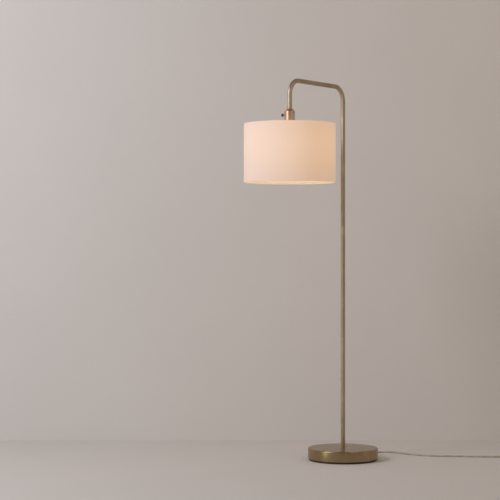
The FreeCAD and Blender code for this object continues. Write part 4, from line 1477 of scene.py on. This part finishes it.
@dataclass
class Bulb(SubAssembly):
    """Lit LED bulb: opal envelope, collar and screw cap."""

    wall: float = 1.0 * MM
    neck: float = 20.5 * MM
    collar_top: float = 13.4 * MM
    flutes: int = 20

    def __post_init__(self) -> None:
        """Find the bulb's axis."""
        self.axis = centre_of("bulb_envelope").xy

    def make(self) -> None:
        """Build the envelope and collar."""
        low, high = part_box("bulb_envelope")
        radius = high.x
        centre = low.z + radius
        start = math.asin(min(1.0, self.neck / radius)) * 0.96
        arc = [(radius * math.sin(t), centre + radius * math.cos(t))
               for t in (start + (math.pi - start) * k / 40 for k in range(41))]
        outer = [(self.neck, high.z)] + arc
        inner = [(max(0.0, (r - self.wall)), z + self.wall * (0.9 if k > 30 else 0.2))
                 for k, (r, z) in enumerate(outer)][::-1]
        outer[-1] = (0.0, outer[-1][1])
        inner[0] = (0.0, outer[-1][1] + self.wall)
        envelope = lathe("bulb_glass", outer + inner, self.axis, segments=96)
        self.dress(envelope, "opal_glass", "bulb", ("bulb_envelope",))
        self.make_collar()

    def make_collar(self) -> None:
        """Heat-sink collar with shallow flutes."""
        low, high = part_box("bulb_collar")
        wide = high.x

        def flute(angle: float, radius: float, height: float) -> float:
            """Shallow upright flutes round the cone.

            Args:
                angle: Place round the collar.
                radius: The plain radius.
                height: Not used.

            Returns:
                Change of radius.
            """
            if radius < 14 * MM:
                return 0.0
            return -0.35 * MM * max(0.0, math.cos(angle * self.flutes)) ** 2

        top = self.collar_top
        outline = [(0.0, low.z), (wide - 2.0 * MM, low.z, 0.4 * MM), (wide, low.z + 4.4 * MM, 4 * MM),
                   (top, high.z - 9 * MM, 3 * MM), (top, high.z), (0.0, high.z)]
        collar = lathe("bulb_heat_sink", rounded(outline, steps=6), self.axis, segments=160, scallop=flute)
        self.dress(collar, "white_plastic", "bulb", ("bulb_collar",))


@dataclass
class Shade(SubAssembly):
    """Linen drum on wire rings: cloth with turned hems, film liner, hub and arms."""

    cloth: float = 0.8 * MM
    hem: float = 9 * MM
    overlap: float = 14 * MM
    turned_edge: float = 5.2 * MM
    columns: int = 240
    wire: float = 1.8 * MM
    hub: Point = (20.3 * MM, 27 * MM)

    def __post_init__(self) -> None:
        """Find the drum's axis, radius and height."""
        self.low, self.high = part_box("shade_fabric")
        self.axis = centre_of("shade_fabric").xy
        self.radius = self.high.x

    def make(self) -> None:
        """Build the cloth, liner and carrier."""
        self.make_cloth()
        self.make_liner()
        self.make_hub()
        self.make_arms()

    def profile(self) -> list[Point]:
        """The cloth's line from the top hem's edge, over the ring, down the wall, to the bottom hem's.

        Returns:
            The line's points, as (radius, height).
        """
        inner = self.radius - self.turned_edge
        soft = 2.2 * MM
        corners = [(inner, self.high.z - self.hem), (inner, self.high.z, soft),
                   (self.radius, self.high.z, soft), (self.radius, self.low.z, soft),
                   (inner, self.low.z, soft), (inner, self.low.z + self.hem)]
        line = rounded(corners, closed=False, steps=5)
        filled: list[Point] = []
        for a, b in zip(line, line[1:]):
            count = max(1, math.ceil(math.dist(a, b) / (8 * MM)))
            filled += [tuple(p + (q - p) * k / count for p, q in zip(a, b)) for k in range(count)]
        return filled + [line[-1]]

    def make_cloth(self) -> None:
        """One sheet wrapped round the drum, its end lapped over its start at the rear."""
        line = self.profile()
        sweep_angle = 2 * math.pi + self.overlap / self.radius
        rows, uvs, travelled = [], [], 0.0
        for i, (r, z) in enumerate(line):
            travelled += math.dist(line[max(i - 1, 0)], (r, z))
            row, marks = [], []
            for k in range(self.columns + 1):
                share = k / self.columns
                angle = math.pi / 2 + sweep_angle * share
                lapped = max(0.0, share * sweep_angle - 2 * math.pi + 0.06) / 0.06
                lift = self.cloth * 1.1 * min(1.0, lapped)
                slack = 0.18 * MM * math.sin(3 * angle + 0.8) * math.sin(math.pi * i / len(line))
                reach = r + lift + slack if r > self.radius - 1 * MM else r - lift
                row.append(Vector((self.axis[0] + reach * math.cos(angle),
                                   self.axis[1] + reach * math.sin(angle), z)))
                marks.append((angle * self.radius, travelled))
            rows.append(row)
            uvs.append(marks)
        cloth = as_object("shade_cloth", grid_mesh("shade_cloth", rows, uvs, wrap=False, close=False), 60)
        thick = cloth.modifiers.new("thickness", "SOLIDIFY")
        thick.thickness, thick.offset = self.cloth, -1.0
        settle(cloth)
        self.dress(cloth, "shade_linen", "shade", ("shade_fabric",))

    def make_liner(self) -> None:
        """Film just inside the cloth."""
        outer = self.radius - self.cloth - 0.25 * MM
        low, high = self.low.z + 1.2 * MM, self.high.z - 1.2 * MM
        outline = [(outer - 0.5 * MM, low), (outer, low)]
        outline += [(outer, low + (high - low) * k / 20) for k in range(1, 20)]
        outline += [(outer, high), (outer - 0.5 * MM, high)]
        outline += [(outer - 0.5 * MM, high - (high - low) * k / 20) for k in range(1, 20)]
        film = lathe("shade_film", outline, self.axis, segments=192)
        self.dress(film, "shade_liner", "shade", ("shade_liner",))

    def make_hub(self) -> None:
        """Flat ring that the lampholder clamps."""
        low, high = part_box("shade_hub")
        (bore, rim), soft = self.hub, 0.4 * MM
        corners = [(bore, low.z), (rim, low.z), (rim, high.z), (bore, high.z)]
        outline = rounded([(*corner, soft) for corner in corners])
        ring = lathe("shade_hub_ring", outline, self.axis, segments=96)
        self.dress(ring, "white_wire", "shade", ("shade_hub",))

    def make_arms(self) -> None:
        """Three wires from the hub up to the top ring, flattened where they are welded on."""
        hub_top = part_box("shade_hub")[1].z
        start_height = hub_top + self.wire + 0.2 * MM
        end_height = centre_of("shade_top_ring").z - 0.3 * MM
        reach = self.radius - self.turned_edge + 1 * MM
        arms = []
        for i in range(3):
            angle = math.radians(90 + 120 * i)
            across = Vector((math.cos(angle), math.sin(angle), 0))
            base = Vector((*self.axis, 0))
            corners = [base + across * 22.6 * MM + Vector((0, 0, start_height)),
                       base + across * 70 * MM + Vector((0, 0, start_height)),
                       base + across * reach + Vector((0, 0, end_height))]
            line = bent_line(corners, [0, 40 * MM, 0], 4 * MM)
            arms.append(sweep("shade_arm", line, circle(self.wire, 20)))
        self.dress(joined("shade_arm_wires", arms, 50), "white_wire", "shade", ("shade_arms",))


@dataclass
class HiddenParts(SubAssembly):
    """CAD parts that keep their own shape and get their finish."""

    def make(self) -> None:
        """Dress every CAD node that still shows."""
        slots = {part["node"]: part["material_slot"] for part in frame["record"]["subparts"]}
        for name, node in frame["nodes"].items():
            if node.hide_render:
                continue
            coat = "plain_brass" if name == "switch_collar" else slots[name]
            for place in node.material_slots:
                place.material = finish(coat)
            self.built.append(node)


# ------------------------------------------------------------------ studio
@dataclass(frozen=True)
class Softbox:
    """One soft light, placed to the camera's right, away from it, and up."""

    name: str
    place: tuple[float, float, float]
    target: tuple[float, float, float]
    size: Point
    power: float
    colour: Colour


SOFTBOXES = (
    Softbox("key", (-3.2, -2.2, 2.75), (-0.6, 0.3, 1.5), (1.5, 1.5), 71.0, (0.948, 0.942, 1.0)),
    Softbox("fill", (2.6, -4.5, 2.6), (0.0, 0.0, 0.8), (3.0, 3.0), 13.0, (1.0, 0.88, 0.78)),
    Softbox("wash", (1.9, -1.6, 3.0), (1.2, 0.65, 1.5), (1.2, 1.2), 10.5, (1.0, 0.72, 0.50)),
    Softbox("window", (-2.5, -2.1, 0.62), (0.0, 0.0, 0.5), (0.35, 1.2), 1.5, (1.0, 0.97, 0.92)),
    Softbox("low_strip", (-2.92, -1.52, 0.14), (0.0, 0.0, 0.03), (0.3, 0.24), 3.3, (1.0, 0.93, 0.82)),
    Softbox("side", (3.6, -0.9, 1.1), (0.0, 0.0, 0.9), (1.0, 2.0), 5.0, (1.0, 0.86, 0.74)),
)


@dataclass
class Studio:
    """Floor, wall, soft light and camera."""

    camera_azimuth: float = 36.3
    camera_distance: float = 6.32
    camera_aside: float = 0.379
    camera_height: float = 0.8555
    lens: float = 111.6
    wall_behind: float = 0.65

    def __post_init__(self) -> None:
        """Work out the camera's place and directions from the pole."""
        angle = math.radians(self.camera_azimuth)
        self.forward = Vector((-math.sin(angle), math.cos(angle), 0))
        self.right = Vector((math.cos(angle), math.sin(angle), 0))
        level = -self.forward * self.camera_distance - self.right * self.camera_aside
        self.eye = level + Vector((0, 0, self.camera_height))

    def at(self, right: float, ahead: float, up: float) -> Vector:
        """A place given from the pole's foot: to the camera's right, away from it, and up."""
        return self.right * right + self.forward * ahead + Vector((0, 0, up))

    def make_camera(self) -> None:
        """Level camera that sees the pole a little right of the middle."""
        data = bpy.data.cameras.new("camera")
        data.lens = self.lens
        data.clip_end = 100.0
        camera = link("camera", data)
        camera.location = self.eye
        camera.rotation_mode = "QUATERNION"
        camera.rotation_quaternion = self.forward.to_track_quat("-Z", "Y")
        bpy.context.scene.camera = camera

    def sheet(self, name: str, corners: Sequence[Vector], material: bpy.types.Material) -> None:
        """One flat backdrop sheet.

        Args:
            name: The sheet's name.
            corners: Its corners.
            material: Its paint.
        """
        mesh = bpy.data.meshes.new(name)
        mesh.from_pydata(list(corners), [], [tuple(range(len(corners)))])
        mesh.materials.append(material)
        link(name, mesh)

    @staticmethod
    def plaster(name: str, colour: Colour, see_through_back: bool) -> bpy.types.Material:
        """Matt paint with a faint mottle.

        Args:
            name: The material's name.
            colour: Its mean colour.
            see_through_back: Whether the sheet is clear from behind.

        Returns:
            The material.
        """
        made = bpy.data.materials.new(name)
        made.use_nodes = True
        made.node_tree.nodes.clear()
        paint = Painter(made.node_tree)
        place = paint.node("TexCoord").outputs["Object"]
        mottle = paint.noise(place, 2.2, 5.0)
        paler = tuple(min(1.0, c * 1.03) for c in colour)
        darker = tuple(c * 0.97 for c in colour)
        shader = paint.node("BsdfPrincipled", {"Roughness": 0.85, "Specular IOR Level": 0.2})
        paint.feed(shader.inputs["Base Color"], paint.blend(mottle, darker, paler))
        surface = shader.outputs[0]
        if see_through_back:
            clear = paint.node("BsdfTransparent")
            back = paint.node("NewGeometry").outputs["Backfacing"]
            surface = paint.node("MixShader", {0: back, 1: surface, 2: clear.outputs[0]}).outputs[0]
        paint.node("OutputMaterial", {"Surface": surface})
        return made

    def make_backdrop(self) -> None:
        """Pale floor and a pale wall behind the lamp."""
        wide, near, tall = 9.0, -9.0, 7.0
        floor = [self.at(-wide, near, 0), self.at(wide, near, 0), self.at(wide, self.wall_behind, 0),
                 self.at(-wide, self.wall_behind, 0)]
        self.sheet("studio_floor", floor, self.plaster("floor_paint", (0.78, 0.75, 0.72), False))
        wall = [self.at(-wide, self.wall_behind, 0), self.at(wide, self.wall_behind, 0),
                self.at(wide, self.wall_behind, tall), self.at(-wide, self.wall_behind, tall)]
        self.sheet("studio_wall", wall, self.plaster("wall_paint", (0.78, 0.755, 0.73), True))

    def area_light(self, box: Softbox) -> None:
        """Put one softbox in the scene.

        Args:
            box: The softbox.
        """
        data = bpy.data.lights.new(box.name, "AREA")
        data.shape = "RECTANGLE"
        (data.size, data.size_y), data.energy, data.color = box.size, box.power, box.colour
        light = link(box.name, data)
        light.location = self.at(*box.place)
        light.rotation_mode = "QUATERNION"
        light.rotation_quaternion = (self.at(*box.target) - light.location).to_track_quat("-Z", "Y")

    def make_lights(self) -> None:
        """Softboxes, even surroundings, and the bulb's own light."""
        for box in SOFTBOXES:
            self.area_light(box)
        world = bpy.data.worlds.new("studio")
        bpy.context.scene.world = world
        world.use_nodes = True
        background = world.node_tree.nodes["Background"]
        background.inputs["Color"].default_value = (1.0, 0.92, 0.85, 1.0)
        background.inputs["Strength"].default_value = 0.155
        data = bpy.data.lights.new("bulb_light", "POINT")
        data.energy, data.color, data.shadow_soft_size = 0.16, (1.0, 0.72, 0.45), 0.03
        light = link("bulb_light", data)
        light.location = (*centre_of("bulb_envelope").xy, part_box("bulb_envelope")[0].z - 0.045)
        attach(light, "arm")

    def make(self) -> None:
        """Backdrop and lights; the camera comes before the lead."""
        self.make_backdrop()
        self.make_lights()
        bpy.context.scene.view_settings.view_transform = "Standard"


def main() -> None:
    """Build the studio and every sub-assembly in order."""
    logging.basicConfig(level=logging.INFO, format="%(message)s")
    studio = Studio()
    studio.make_camera()
    for assembly in (FreeCord(), Base(), Pole(), Arm(), Lampholder(), Bulb(), Shade(), HiddenParts()):
        assembly.make()
        assembly.report()
    studio.make()


if __name__ == "__main__":
    main()
